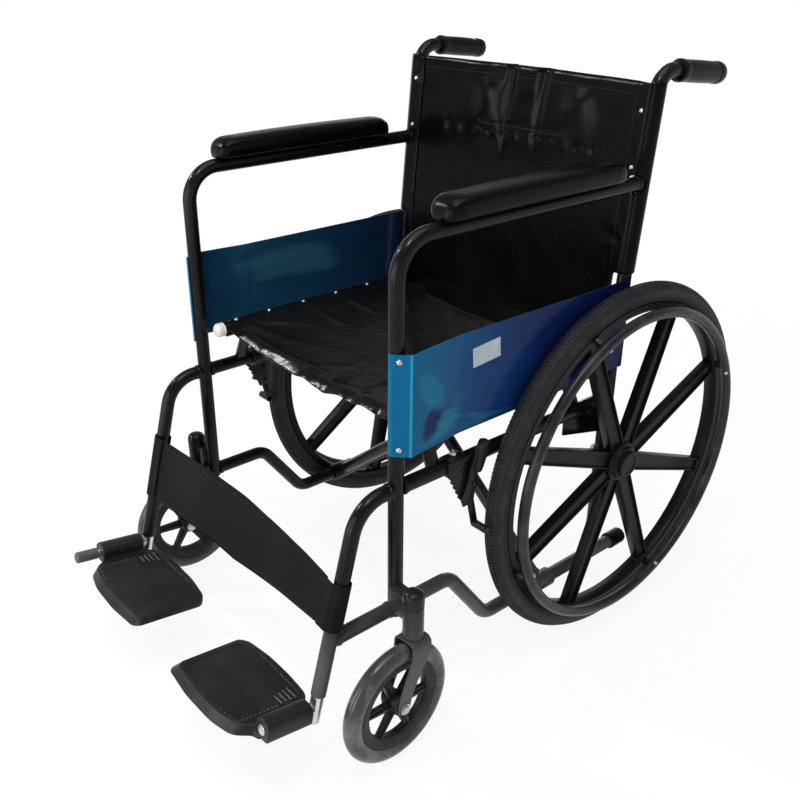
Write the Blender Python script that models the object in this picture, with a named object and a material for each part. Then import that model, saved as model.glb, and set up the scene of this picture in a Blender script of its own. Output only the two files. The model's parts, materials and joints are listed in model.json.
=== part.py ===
"""A folding manual wheelchair with a black tube frame, blue side guards, mag wheels and vinyl slings.

Metres, +Z up, the chair faces -Y and its user's left is +X. The origin is on the floor, midway between the
footplate tips and the back of the rear wheels.

Each side frame is drawn by three distances: out from the middle of its tubes, back from its front post and up
from the floor. The fold is a scissor: two cross tubes turn on the lower rails, are bolted together in the
middle and carry the seat rails on their upper ends.
"""

from math import asin, atan2, ceil, cos, degrees, pi, radians, sin, tan, tau

import bmesh
import bpy
from mathutils import Matrix, Quaternion, Vector

# Clearances
GAP = 0.0003  # between pieces that touch
RUN = 0.0005  # between pieces that turn on each other
CLOTH_ROOM = 0.002  # round a tube that comes out through the upholstery

# How finely round things are cut
TUBE_SIDES = 12
BEND_STEP = radians(19)
TYRE_SIDES = 48
CASTER_SIDES = 32
FLATS = 1 / cos(pi / TUBE_SIDES)  # a tube's radius to its corners, over that to its flats

# Frame tubes
TUBE_R = 0.011
FRAME_HALF = 0.2525  # middle of the chair to the middle of each side frame
POST_TO_CANE = 0.447
ARM_Z = 0.743
ARM_BEND = 0.052
SIDE_RAIL_Z = 0.402
HANGER_CORNER = 0.0635  # ahead of the post, where the side rail would turn down without its bend
HANGER_SLOPE = radians(15.2)  # from upright
HANGER_BEND = 0.055
HANGER_END_Z = 0.126
FRONT_RAIL_Z = 0.207  # the front stay, and the lower rail before its step
REAR_RAIL_Z = 0.100
STEP_START = 0.105  # behind the post, where the lower rail starts to drop
STEP_END = 0.185
STEP_BEND = 0.035
TIP_REACH = 0.082  # the lower rail past the cane, for a foot to tip the chair
TIP_CAP_LENGTH = 0.036
TIP_CAP_WALL = 0.0028
GUSSET_REACH = 0.105
GUSSET_DROP = 0.048
GUSSET_THICK = 0.003

# Back canes and push handles
CANE_KINK_Z = 0.500
CANE_LEAN = radians(5.4)
CANE_TOP_Z = 0.901
CANE_BEND = 0.034
HANDLE_DROOP = radians(6)
HANDLE_LENGTH = 0.148
GRIP_LENGTH = 0.111
GRIP_R = 0.0165
GRIP_END = 0.006

# Arm pads
PAD_FRONT = {"left": 0.067, "right": 0.052}
PAD_LENGTH = 0.343
PAD_HALF = 0.0265
PAD_HEIGHT = 0.033

# Side guards
GUARD_BOTTOM = 0.458
GUARD_TOP = 0.602
GUARD_THICK = 0.0015
GUARD_LEAVES = radians(45)  # round the post, where its flange leaves it
GUARD_FOLD_OUT = 0.023  # where the flange that wraps the post is folded back
GUARD_STRAIGHT_BACK = 0.100  # behind the post, from where it runs along the frame
GUARD_BEYOND = 0.009  # past the middle of the cane

# Rear wheels
WHEEL_R = 0.2995
WHEEL_OUT = 0.034
TYRE_R = 0.0168  # of its round section
TYRE_SEAT = radians(135)  # how far its section goes round to each side, to the rim
TYRE_POINTS = 9
RIM_DEPTH = 0.0138
RIM_HALF = 0.0125
SPOKES = 8
SPOKE_ROOT = 0.015
SPOKE_TIP = 0.0115
SPOKE_HALF = 0.0085
WHEEL_TURN = {"left": radians(23.6), "right": radians(34)}
HUB_R = 0.032
HUB_OUTER = 0.0152
AXLE_R = 0.006
AXLE_NUT_R = 0.0095
AXLE_NUT_LONG = 0.0065
AXLE_SPACER = 0.0042
HANDRIM_INSIDE = 0.0120  # its middle line inside the rim's outer edge
HANDRIM_OUT = 0.031  # from the wheel's middle plane
HANDRIM_TUBE_R = 0.0085
HANDRIM_LUGS = 4
LUG_HALF = 0.005

# Casters
CASTER_R = 0.0945
CASTER_TYRE_R = 0.0135
CASTER_OUT = {"left": 0.052, "right": 0.034}  # the photograph shows the right one closer in
CASTER_BACK = -0.0115
CASTER_TRAIL = 0.0325  # ahead of the swivel, as after the chair has rolled backwards
CASTER_STEER = {"left": radians(3), "right": radians(-7)}
CASTER_RIM_DEPTH = 0.017
CASTER_RIM_HALF = 0.0094
CASTER_SPOKES = 6
CASTER_SPOKE_HALF = 0.0065
CASTER_SPOKE_THICK = 0.005
CASTER_TURN = {"left": radians(53), "right": 0.0}
CASTER_HUB_R = 0.016
CASTER_BOLT_R = 0.004
CASTER_NUT_R = 0.0068
CASTER_NUT_LONG = 0.005
FORK_ROOM = 0.003  # between the tyre and each blade
FORK_THICK = 0.0035
FORK_CROWN = 0.004
CROWN_ROOM = 0.0025  # above the tyre
STEM_R = 0.0078
HEAD_R = 0.0155
HEAD_LONG = 0.074
HEAD_TOP_WALL = 0.012
HEAD_BRACKET = (0.017, 0.055)  # its lower and upper edge above the bottom of the head

# Scissor
SEAT_INBOARD = 0.025  # from the middle of a side frame in to the middle of its seat rail
SEAT_RAIL_Z = 0.478
SEAT_PLUG_GAP = 0.0015  # from the back of the post to the plug in the rail's front end
SEAT_RAIL_BACK_GAP = 0.014
PLUG_HEAD_LONG = 0.015
PLUG_HEAD_R = 0.0117
PLUG_DEPTH = 0.012
PLUG_R = 0.0085
CROSS_BACK = 0.300  # behind the post, to the middle of the scissor
CROSS_SPACER = 0.004  # between the two cross tubes
PIVOT_SLEEVE_R = 0.0155
PIVOT_SLEEVE_LONG = 0.050
PIVOT_BOLT_R = 0.005
PIVOT_HEAD_R = 0.0085
PIVOT_HEAD_LONG = 0.005
SADDLE_AHEAD = 0.020  # the front one, of the brake's clamp
SADDLE_BACK = 0.365  # the rear one
SADDLE_LONG = 0.020
SADDLE_THICK = 0.004
SADDLE_HALF = 0.011

# Upholstery
CLOTH = 0.004
HEM_WALL = 0.0033
SEAT_START_GAP = 0.003  # from the front end of the seat rails
SEAT_END_GAP = 0.006
SEAT_SAG = 0.024
SEAT_FRONT_SAG = 0.018
BACK_BOTTOM = 0.440
BACK_TOP = 0.884
BACK_SAG = 0.022
BACK_FOLDS = (-0.034, 0.036)
FOLD_DEPTH = 0.005
FOLD_HALF = 0.014
STRAP_TOP = 0.306
STRAP_BOTTOM = 0.202
STRAP_DRAW = (0.023, -0.012)  # how far its lower and upper edge move up at the left hanger
STRAP_SAG = 0.018

# Brakes
BRAKE_CLAMP_AHEAD = (0.0575, 0.0295)  # of the tyre's front, as the next two places are
BRAKE_CLAMP_WALL = 0.0042
BRAKE_PLATE_THICK = 0.003
BRAKE_PIVOT_AHEAD = 0.0225
BRAKE_PIVOT_Z = 0.372
BRAKE_LEVER_OUT = 0.0190
BRAKE_LEVER_THICK = 0.0035
BRAKE_KNOB_AHEAD = 0.0035
BRAKE_KNOB_Z = 0.430
BRAKE_KNOB_R = 0.0055
BRAKE_PIN_R = 0.0035
SHOE_PIVOT_DROP = 0.027
SHOE_ARM_OUT = 0.0154
SHOE_ARM_THICK = 0.0028
SHOE_R = 0.006
SHOE_GAP = 0.006  # to the tyre, off
SHOE_DROP = 0.045

# Footrests
FOOT_TUBE_R = 0.0095
FOOT_TUBE_HIDDEN = 0.110
FOOT_TUBE_BELOW = 0.022  # below the stub that carries the plate
STUB_Z = {"left": 0.106, "right": 0.115}  # the left one is drawn out further
STUB_TILT = radians(9)  # up in front
STUB_R = 0.0075
STUB_BEYOND = {"left": 0.0015, "right": 0.024}  # past the sleeve
FOOT_PLUG_LONG = 0.034
FOOT_PLUG_SHOWS = 0.016  # ahead of the stub's end
FOOT_PLUG_R = 0.0095
FOOT_PLUG_TIP = 0.002
FOOT_SLEEVE_HALF = 0.0155
FOOT_SLEEVE_BACK = 0.0145  # ahead of the hanger's axis
FOOT_SLEEVE_LONG = 0.0735
PLATE_DROOP = {"left": 0.0, "right": radians(2)}
PLATE_TOP = -0.005  # from the stub's axis
PLATE_SKIRT = 0.015
PLATE_THIN = 0.004  # how much less deep it is at its inner edge
PLATE_WALL = 0.003
PLATE_BEVEL = 0.008  # its front edge, from the top to the bottom
PLATE_LONG = 0.1975
PLATE_REACH = 0.1270
PLATE_BULGE = 0.015  # the rear edge, behind the hanger's axis
PLATE_CORNER = 0.016  # how far its front inboard corner is rounded off

# Worked out from the sizes above
REACH_BACK = POST_TO_CANE + WHEEL_R
HANGER_DOWN = Vector((0, -sin(HANGER_SLOPE), -cos(HANGER_SLOPE)))
HANGER_AHEAD = Vector((0, -cos(HANGER_SLOPE), sin(HANGER_SLOPE)))
CROSS_RISE = SEAT_RAIL_Z - REAR_RAIL_Z
SEAT_HALF = FRAME_HALF - SEAT_INBOARD
CROSS_RUN = FRAME_HALF + SEAT_HALF
CROSS_PIVOT_Z = REAR_RAIL_Z + CROSS_RISE * FRAME_HALF / CROSS_RUN
CROSS_STEP = TUBE_R + CROSS_SPACER / 2  # each cross tube's middle from the middle of the scissor
HEM_R = (TUBE_R + GAP) * FLATS + HEM_WALL
SEAT_TOP_Z = SEAT_RAIL_Z + HEM_R
FORK_OUT = CASTER_TYRE_R + FORK_ROOM
CROWN_Z = 2 * CASTER_R + CROWN_ROOM
HEAD_Z = CROWN_Z + FORK_CROWN + RUN
TYRE_BEAD = 1 - cos(TYRE_SEAT)  # from the tread to the rim, over the section's radius
RIM_OUTER = WHEEL_R - TYRE_R * TYRE_BEAD - GAP
HANDRIM_R = RIM_OUTER - HANDRIM_INSIDE
CASTER_RIM_OUTER = CASTER_R - CASTER_TYRE_R * TYRE_BEAD - GAP


def hanger_back(up):
    """How far behind the post the sloping part of the hanger tube is, at a height: below zero, being ahead."""
    return -HANGER_CORNER - (SIDE_RAIL_Z - up) * tan(HANGER_SLOPE)


def cane_back(up):
    return POST_TO_CANE + max(0.0, up - CANE_KINK_Z) * tan(CANE_LEAN)


def foot_front(name, ahead, below):
    """How far behind the post a place on a footrest is, by its way ahead along the stub and down from it."""
    return hanger_back(STUB_Z[name]) - ahead * cos(STUB_TILT) - below * sin(STUB_TILT)


AHEAD = Vector((0, -cos(STUB_TILT), sin(STUB_TILT)))
FOOT_UP = Vector((0, sin(STUB_TILT), cos(STUB_TILT)))
FOOT_SLEEVE_FRONT = FOOT_SLEEVE_BACK + FOOT_SLEEVE_LONG
FOOT_PLUG_END = FOOT_SLEEVE_FRONT + STUB_BEYOND["right"] + FOOT_PLUG_SHOWS + FOOT_PLUG_TIP
FRONT = min(
    foot_front("left", PLATE_REACH, -PLATE_TOP + PLATE_SKIRT),
    foot_front("right", FOOT_PLUG_END, FOOT_PLUG_R * 0.8 / FLATS),
)
POST_Y = -(FRONT + REACH_BACK) / 2
TYRE_FRONT = POST_TO_CANE - WHEEL_R
BRAKE_CLAMP = [TYRE_FRONT - ahead for ahead in BRAKE_CLAMP_AHEAD]
SADDLE_BACKS = (BRAKE_CLAMP[0] - SADDLE_AHEAD, SADDLE_BACK)
BRAKE_PIVOT = (TYRE_FRONT - BRAKE_PIVOT_AHEAD, BRAKE_PIVOT_Z)
BRAKE_KNOB = (TYRE_FRONT - BRAKE_KNOB_AHEAD, BRAKE_KNOB_Z)
SHOE_Y = TYRE_FRONT - SHOE_GAP - SHOE_R
SHOE_Z = BRAKE_PIVOT[1] - SHOE_PIVOT_DROP - SHOE_DROP
X, Y, Z = Vector((1, 0, 0)), Vector((0, 1, 0)), Vector((0, 0, 1))

COLOURS = {  # linear colour, roughness, metallic
    "black_tube": ((0.012, 0.012, 0.013), 0.30, 0.0),
    "blue_guard": ((0.015, 0.160, 0.420), 0.15, 0.3),
    "black_vinyl": ((0.010, 0.010, 0.011), 0.22, 0.0),
    "strap_vinyl": ((0.014, 0.014, 0.013), 0.60, 0.0),
    "pad_foam": ((0.012, 0.012, 0.012), 0.55, 0.0),
    "mag_plastic": ((0.012, 0.012, 0.013), 0.45, 0.0),
    "tyre_rubber": ((0.022, 0.023, 0.025), 0.75, 0.0),
    "caster_rubber": ((0.110, 0.112, 0.115), 0.35, 0.0),
    "foot_plastic": ((0.016, 0.017, 0.019), 0.45, 0.0),
    "silver_tube": ((0.620, 0.620, 0.600), 0.30, 1.0),
    "steel_bolt": ((0.350, 0.350, 0.350), 0.35, 1.0),
    "white_plug": ((0.750, 0.750, 0.740), 0.45, 0.0),
    "grip_rubber": ((0.015, 0.014, 0.015), 0.55, 0.0),
}


def rounded(corners, *radii):
    """A path through its corners, with an arc of the given radius at each inner one."""
    path = [corners[0]]
    for before, corner, after, radius in zip(corners, corners[1:], corners[2:], radii):
        into, out = (corner - before).normalized(), (after - corner).normalized()
        turn = into.angle(out)
        centre = corner + (out - into).normalized() * radius / cos(turn / 2)
        start = corner - into * radius * tan(turn / 2) - centre
        count = max(2, ceil(turn / BEND_STEP))
        for k in range(count + 1):
            path.append(centre + Matrix.Rotation(turn * k / count, 3, into.cross(out)) @ start)
    return path + [corners[-1]]


def mesh_from(rings, loop=False):
    """A closed skin over rings of points: its ends are capped, or it meets itself if it is a loop."""
    bm = bmesh.new()
    rows = [[bm.verts.new(point) for point in ring] for ring in rings]
    pairs = list(zip(rows, rows[1:] + rows[:1])) if loop else list(zip(rows, rows[1:]))
    for first, second in pairs:
        for k in range(len(first)):
            n = (k + 1) % len(first)
            bm.faces.new((first[k], first[n], second[n], second[k]))
    if not loop:
        bm.faces.new(rows[0])
        bm.faces.new(rows[-1])
    return finished(bm)


def finished(bm):
    bmesh.ops.remove_doubles(bm, verts=bm.verts, dist=1e-7)
    bmesh.ops.recalc_face_normals(bm, faces=bm.faces)
    mesh = bpy.data.meshes.new("piece")
    bm.to_mesh(mesh)
    bm.free()
    return mesh


def bar(path, radius, flat, sides=TUBE_SIDES):
    """A round bar along a path in the plane whose normal is flat. Its flats face along that normal."""
    rings = []
    for k, point in enumerate(path):
        into = (point - path[k - 1]).normalized() if k else (path[1] - point).normalized()
        out = (path[k + 1] - point).normalized() if k + 1 < len(path) else into
        along = (into + out).normalized()
        across = flat.cross(along) / into.dot(along)
        turns = [tau * (n + 0.5) / sides for n in range(sides)]
        rings.append([point + radius * (cos(t) * flat + sin(t) * across) for t in turns])
    return mesh_from(rings)


def turned(profile, centre, axis, sides=TUBE_SIDES, start=None, loop=False):
    """A profile of (radius, distance along the axis) turned about it. It is a solid with flat ends, or with
    loop a ring whose profile closes on itself."""
    axis = axis.normalized()
    start = start or (Y if abs(axis.x) > 0.9 else X)
    side = axis.cross(start)
    rays = [cos(t) * start + sin(t) * side for t in (tau * (n + 0.5) / sides for n in range(sides))]
    rings = [[centre + axis * along + ray * radius for ray in rays] for radius, along in profile]
    return mesh_from(rings, loop)


def rod(radius, start, end, sides=TUBE_SIDES):
    """A straight round bar between two points."""
    long = (end - start).length
    return turned([(radius, 0), (radius, long)], start, end - start, sides)


def plate(outline, origin, across, up, through):
    """A flat outline, drawn across and up from the origin and made as thick as through."""
    low = [origin + across * a + up * b for a, b in outline]
    return mesh_from([low, [point + through for point in low]])


def block(low, high):
    size = high - low
    return plate([(0, 0), (size.x, 0), (size.x, size.y), (0, size.y)], low, X, Y, Z * size.z)


def worked(base, tools, operation):
    """A mesh with others joined to it or cut from it."""
    scene = bpy.context.scene.collection
    piece = bpy.data.objects.new("piece", base)
    scene.objects.link(piece)
    helpers = []
    for tool in tools:
        helper = bpy.data.objects.new("tool", tool)
        scene.objects.link(helper)
        change = piece.modifiers.new("change", "BOOLEAN")
        change.operation, change.object, change.solver = operation, helper, "EXACT"
        helpers.append(helper)
    depsgraph = bpy.context.evaluated_depsgraph_get()
    result = bpy.data.meshes.new_from_object(piece.evaluated_get(depsgraph))
    for thing in [piece] + helpers:
        bpy.data.objects.remove(thing)
    return result


def joined(base, *more):
    return worked(base, more, "UNION")


def cut(base, *tools):
    return worked(base, tools, "DIFFERENCE")


def material(name):
    found = bpy.data.materials.get(name)
    if found:
        return found
    colour, roughness, metallic = COLOURS[name]
    made = bpy.data.materials.new(name)
    made.use_nodes = True
    shader = made.node_tree.nodes["Principled BSDF"]
    shader.inputs["Base Color"].default_value = (*colour, 1)
    shader.inputs["Roughness"].default_value = roughness
    shader.inputs["Metallic"].default_value = metallic
    made.diffuse_color = (*colour, 1)
    return made


BODIES = {}


def body(name, place, parent=None):
    """An empty on a moving body's joint axis. The body's pieces are its children."""
    empty = bpy.data.objects.new("body_" + name, None)
    bpy.context.scene.collection.objects.link(empty)
    empty.location = place - (BODIES[parent][1] if parent else Vector())
    if parent:
        empty.parent = BODIES[parent][0]
    BODIES[name] = empty, place


def add(name, mesh, finish, holder):
    """A named piece on a body, from a mesh in the chair's own frame."""
    empty, place = BODIES[holder]
    mesh.transform(Matrix.Translation(-place))
    mesh.name = name
    mesh.shade_smooth()
    mesh.set_sharp_from_angle(angle=radians(35))
    mesh.materials.clear()
    mesh.materials.append(material(finish))
    piece = bpy.data.objects.new(name, mesh)
    bpy.context.scene.collection.objects.link(piece)
    piece.parent = empty


class Side:
    """One side of the chair, left or right."""

    def __init__(self, name):
        self.name = name
        self.sign = 1 if name == "left" else -1
        self.out = X * self.sign

    def at(self, out, back, up):
        return Vector((self.sign * (FRAME_HALF + out), POST_Y + back, up))

    def foot(self, inboard, ahead, up):
        """A place on the footrest, from where the axis of its stub meets the hanger's."""
        height = STUB_Z[self.name]
        start = self.at(0, hanger_back(height), height)
        return start - self.out * inboard + AHEAD * ahead + FOOT_UP * up

    def path(self, *spots):
        return [self.at(0, back, up) for back, up in spots]

    def post(self, radius=TUBE_R):
        """The front post, bent back into the arm tube."""
        corners = self.path((0, FRONT_RAIL_Z - TUBE_R), (0, ARM_Z), (cane_back(ARM_Z), ARM_Z))
        return bar(rounded(corners, ARM_BEND), radius, X)

    def cane(self, radius=TUBE_R):
        top = cane_back(CANE_TOP_Z)
        corners = self.path(
            (POST_TO_CANE, REAR_RAIL_Z),
            (POST_TO_CANE, CANE_KINK_Z),
            (top, CANE_TOP_Z),
            (top + HANDLE_LENGTH * cos(HANDLE_DROOP), CANE_TOP_Z - HANDLE_LENGTH * sin(HANDLE_DROOP)),
        )
        return bar(rounded(corners, 0.3, CANE_BEND), radius, X)

    def hanger(self, radius=TUBE_R):
        corners = self.path(
            (0, SIDE_RAIL_Z), (-HANGER_CORNER, SIDE_RAIL_Z), (hanger_back(HANGER_END_Z), HANGER_END_Z)
        )
        return bar(rounded(corners, HANGER_BEND), radius, X)

    def side_bar(self, radius=TUBE_R):
        return bar(self.path((0, SIDE_RAIL_Z), (POST_TO_CANE, SIDE_RAIL_Z)), radius, X)

    def stepped_rail(self, radius=TUBE_R):
        corners = self.path(
            (0, FRONT_RAIL_Z),
            (STEP_START, FRONT_RAIL_Z),
            (STEP_END, REAR_RAIL_Z),
            (POST_TO_CANE + TIP_REACH, REAR_RAIL_Z),
        )
        return bar(rounded(corners, STEP_BEND, STEP_BEND), radius, X)

    def stay(self, radius=TUBE_R):
        """The short tube from the foot of the post to the hanger."""
        return bar(self.path((0, FRONT_RAIL_Z), (hanger_back(FRONT_RAIL_Z), FRONT_RAIL_Z)), radius, X)

    def seat_bar(self, radius=TUBE_R, extra=0.0):
        inward = SEAT_HALF - FRAME_HALF
        front, back = SEAT_FRONT - extra, SEAT_BACK + extra
        return bar([self.at(inward, front, SEAT_RAIL_Z), self.at(inward, back, SEAT_RAIL_Z)], radius, X)

    def cross_bar(self, radius=TUBE_R):
        """The cross tube that turns on this side's lower rail and carries the other side's seat rail."""
        back = CROSS_BACK + self.sign * CROSS_STEP
        low = self.at(0, back, REAR_RAIL_Z)
        high = self.at(-FRAME_HALF - SEAT_HALF, back, SEAT_RAIL_Z)
        return bar([low, high], radius, Y)


SEAT_FRONT = TUBE_R + SEAT_PLUG_GAP + PLUG_HEAD_LONG + GAP
SEAT_BACK = POST_TO_CANE - TUBE_R - SEAT_RAIL_BACK_GAP
COPE_R = (TUBE_R + GAP) * FLATS
CUFF_R = TUBE_R * FLATS + CLOTH_ROOM


def bolt(radius, head, head_long, start, end):
    """A bolt between the outer faces of what it holds, with a head and a nut."""
    long = (end - start).length
    profile = [
        (head, -head_long - GAP),
        (head, -GAP),
        (radius, -GAP),
        (radius, long + GAP),
        (head, long + GAP),
        (head, long + GAP + head_long),
    ]
    return turned(profile, start, end - start)


def side_frame(side, holder):
    """The tubes that stay together when the chair folds."""
    name = side.name
    add(f"{name}_arm_tube", cut(side.post(), side.cane(COPE_R)), "black_tube", holder)

    axle_hole = rod(
        (AXLE_R + GAP) * FLATS,
        side.at(-2 * TUBE_R, POST_TO_CANE, WHEEL_R),
        side.at(2 * TUBE_R, POST_TO_CANE, WHEEL_R),
    )
    cane = cut(side.cane(), side.stepped_rail(COPE_R), axle_hole)
    add(f"{name}_back_cane", cane, "black_tube", holder)

    rail = joined(side.side_bar(), gusset(side), *[saddle(side, back) for back in SADDLE_BACKS])
    add(f"{name}_side_rail", cut(rail, side.post(COPE_R), side.cane(COPE_R)), "black_tube", holder)

    end = side.at(0, hanger_back(HANGER_END_Z), HANGER_END_Z)
    socket = bar(
        [end + HANGER_DOWN * TUBE_R, end - HANGER_DOWN * FOOT_TUBE_HIDDEN],
        (FOOT_TUBE_R + GAP) * FLATS,
        X,
    )
    add(f"{name}_hanger_tube", cut(side.hanger(), side.post(COPE_R), socket), "black_tube", holder)

    add(f"{name}_lower_rail", cut(side.stepped_rail(), side.post(COPE_R)), "black_tube", holder)

    add(f"{name}_front_stay", cut(side.stay(), side.post(COPE_R), side.hanger(COPE_R)), "black_tube", holder)

    tip = side.at(0, POST_TO_CANE + TIP_REACH, REAR_RAIL_Z)
    cap_r = COPE_R + TIP_CAP_WALL
    cap = [
        (COPE_R, GAP),
        (COPE_R, TIP_CAP_WALL - TIP_CAP_LENGTH),
        (cap_r, TIP_CAP_WALL - TIP_CAP_LENGTH),
        (cap_r, 0),
        (cap_r - TIP_CAP_WALL, TIP_CAP_WALL),
    ]
    add(f"{name}_tip_cap", turned(cap, tip, Y), "grip_rubber", holder)


def gusset(side):
    """The plate welded under the side rail, in front of the cane."""
    outline = [
        (POST_TO_CANE, SIDE_RAIL_Z - GUSSET_DROP - TUBE_R),
        (POST_TO_CANE, SIDE_RAIL_Z),
        (POST_TO_CANE - GUSSET_REACH, SIDE_RAIL_Z),
        (POST_TO_CANE - GUSSET_REACH, SIDE_RAIL_Z - GUSSET_DROP * 0.75),
    ]
    return plate(outline, side.at(-GUSSET_THICK / 2, 0, 0), Y, Z, side.out * GUSSET_THICK)


def saddle(side, back):
    """A bracket welded to the side rail, which the seat rail rests on when the chair is open."""
    inward = FRAME_HALF - SEAT_HALF
    top = SEAT_RAIL_Z - HEM_R - GAP
    foot = SIDE_RAIL_Z + TUBE_R * 0.6
    outline = [
        (0.002, foot),
        (-TUBE_R * 0.8, foot),
        (-inward - SADDLE_THICK / 2, top - SADDLE_THICK),
        (-inward - SADDLE_HALF, top - SADDLE_THICK),
        (-inward - SADDLE_HALF, top),
        (-inward + SADDLE_HALF, top),
        (-inward + SADDLE_HALF, top - SADDLE_THICK),
        (-inward + SADDLE_THICK / 2, top - SADDLE_THICK),
    ]
    start = side.at(0, back - SADDLE_LONG / 2, 0)
    return plate(outline, start, side.out, Z, Y * SADDLE_LONG)


def push_grip(side, holder):
    top = cane_back(CANE_TOP_Z)
    along = Vector((0, cos(HANDLE_DROOP), -sin(HANDLE_DROOP)))
    end = side.at(0, top, CANE_TOP_Z) + along * HANDLE_LENGTH
    profile = [
        (COPE_R, GAP),
        (COPE_R, GRIP_END - GRIP_LENGTH),
        (GRIP_R * 0.92, GRIP_END - GRIP_LENGTH),
        (GRIP_R, GRIP_END * 1.5 - GRIP_LENGTH),
        (GRIP_R, 0),
        (GRIP_R * 0.8, GRIP_END * 0.75),
        (GRIP_R * 0.4, GRIP_END),
    ]
    add(f"{side.name}_push_grip", turned(profile, end, along, 12, X), "grip_rubber", holder)


def arm_pad(side, holder):
    """A moulded pad screwed down on the arm tube: with a rounded nose and a blunt back."""
    bottom = ARM_Z + TUBE_R + GAP
    shape = [  # share of the length, of the half width, of the height
        (0.000, 0.55, 0.36),
        (0.018, 0.86, 0.72),
        (0.065, 1.00, 0.94),
        (0.300, 1.00, 1.00),
        (0.700, 1.00, 1.00),
        (0.930, 0.98, 0.94),
        (0.982, 0.88, 0.74),
        (1.000, 0.60, 0.40),
    ]
    rings = []
    for along, wide, high in shape:
        half, tall = PAD_HALF * wide, PAD_HEIGHT * high
        section = [(-0.72, 0), (0.72, 0), (1, 0.22), (1, 0.62), (0.72, 0.93), (0, 1)]
        section += [(-0.72, 0.93), (-1, 0.62), (-1, 0.22)]
        back = PAD_FRONT[side.name] + PAD_LENGTH * along
        rings.append([side.at(half * a, back, bottom + tall * b) for a, b in section])
    add(f"{side.name}_arm_pad", mesh_from(rings), "pad_foam", holder)


def bent_sheet(path, thick):
    """The outline of a bent sheet in plan: a path, and the same path moved to its right by the thickness."""
    moved = []
    for k, spot in enumerate(path):
        into = (spot - path[k - 1]).normalized() if k else (path[1] - spot).normalized()
        out = (path[k + 1] - spot).normalized() if k + 1 < len(path) else into
        along = (into + out).normalized()
        moved.append(spot + Vector((along.y, -along.x)) * thick / into.dot(along))
    return path + moved[::-1]


def side_guard(side, holder):
    """The sheet metal guard outside the side frame. Its flange comes round the front post, is folded back
    well outside it, and closes on the frame behind."""
    near = COPE_R + GAP
    fold = Vector((GUARD_FOLD_OUT, (GUARD_FOLD_OUT * cos(GUARD_LEAVES) - near) / sin(GUARD_LEAVES)))
    path = [
        Vector((0, -near)),
        Vector((near * tan(GUARD_LEAVES / 2), -near)),
        fold,
        Vector((near, GUARD_STRAIGHT_BACK)),
        Vector((near, POST_TO_CANE + GUARD_BEYOND)),
    ]
    outline = bent_sheet(path, GUARD_THICK)
    sheet = plate(outline, side.at(0, 0, GUARD_BOTTOM), side.out, Y, Z * (GUARD_TOP - GUARD_BOTTOM))
    add(f"{side.name}_side_guard", sheet, "blue_guard", holder)


def tyre_section(outer, radius):
    """The section of a tyre from one bead over the tread to the other."""
    turns = [TYRE_SEAT * (2 * k / (TYRE_POINTS - 1) - 1) for k in range(TYRE_POINTS)]
    return [(outer - radius * (1 - cos(t)), radius * sin(t)) for t in turns]


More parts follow.
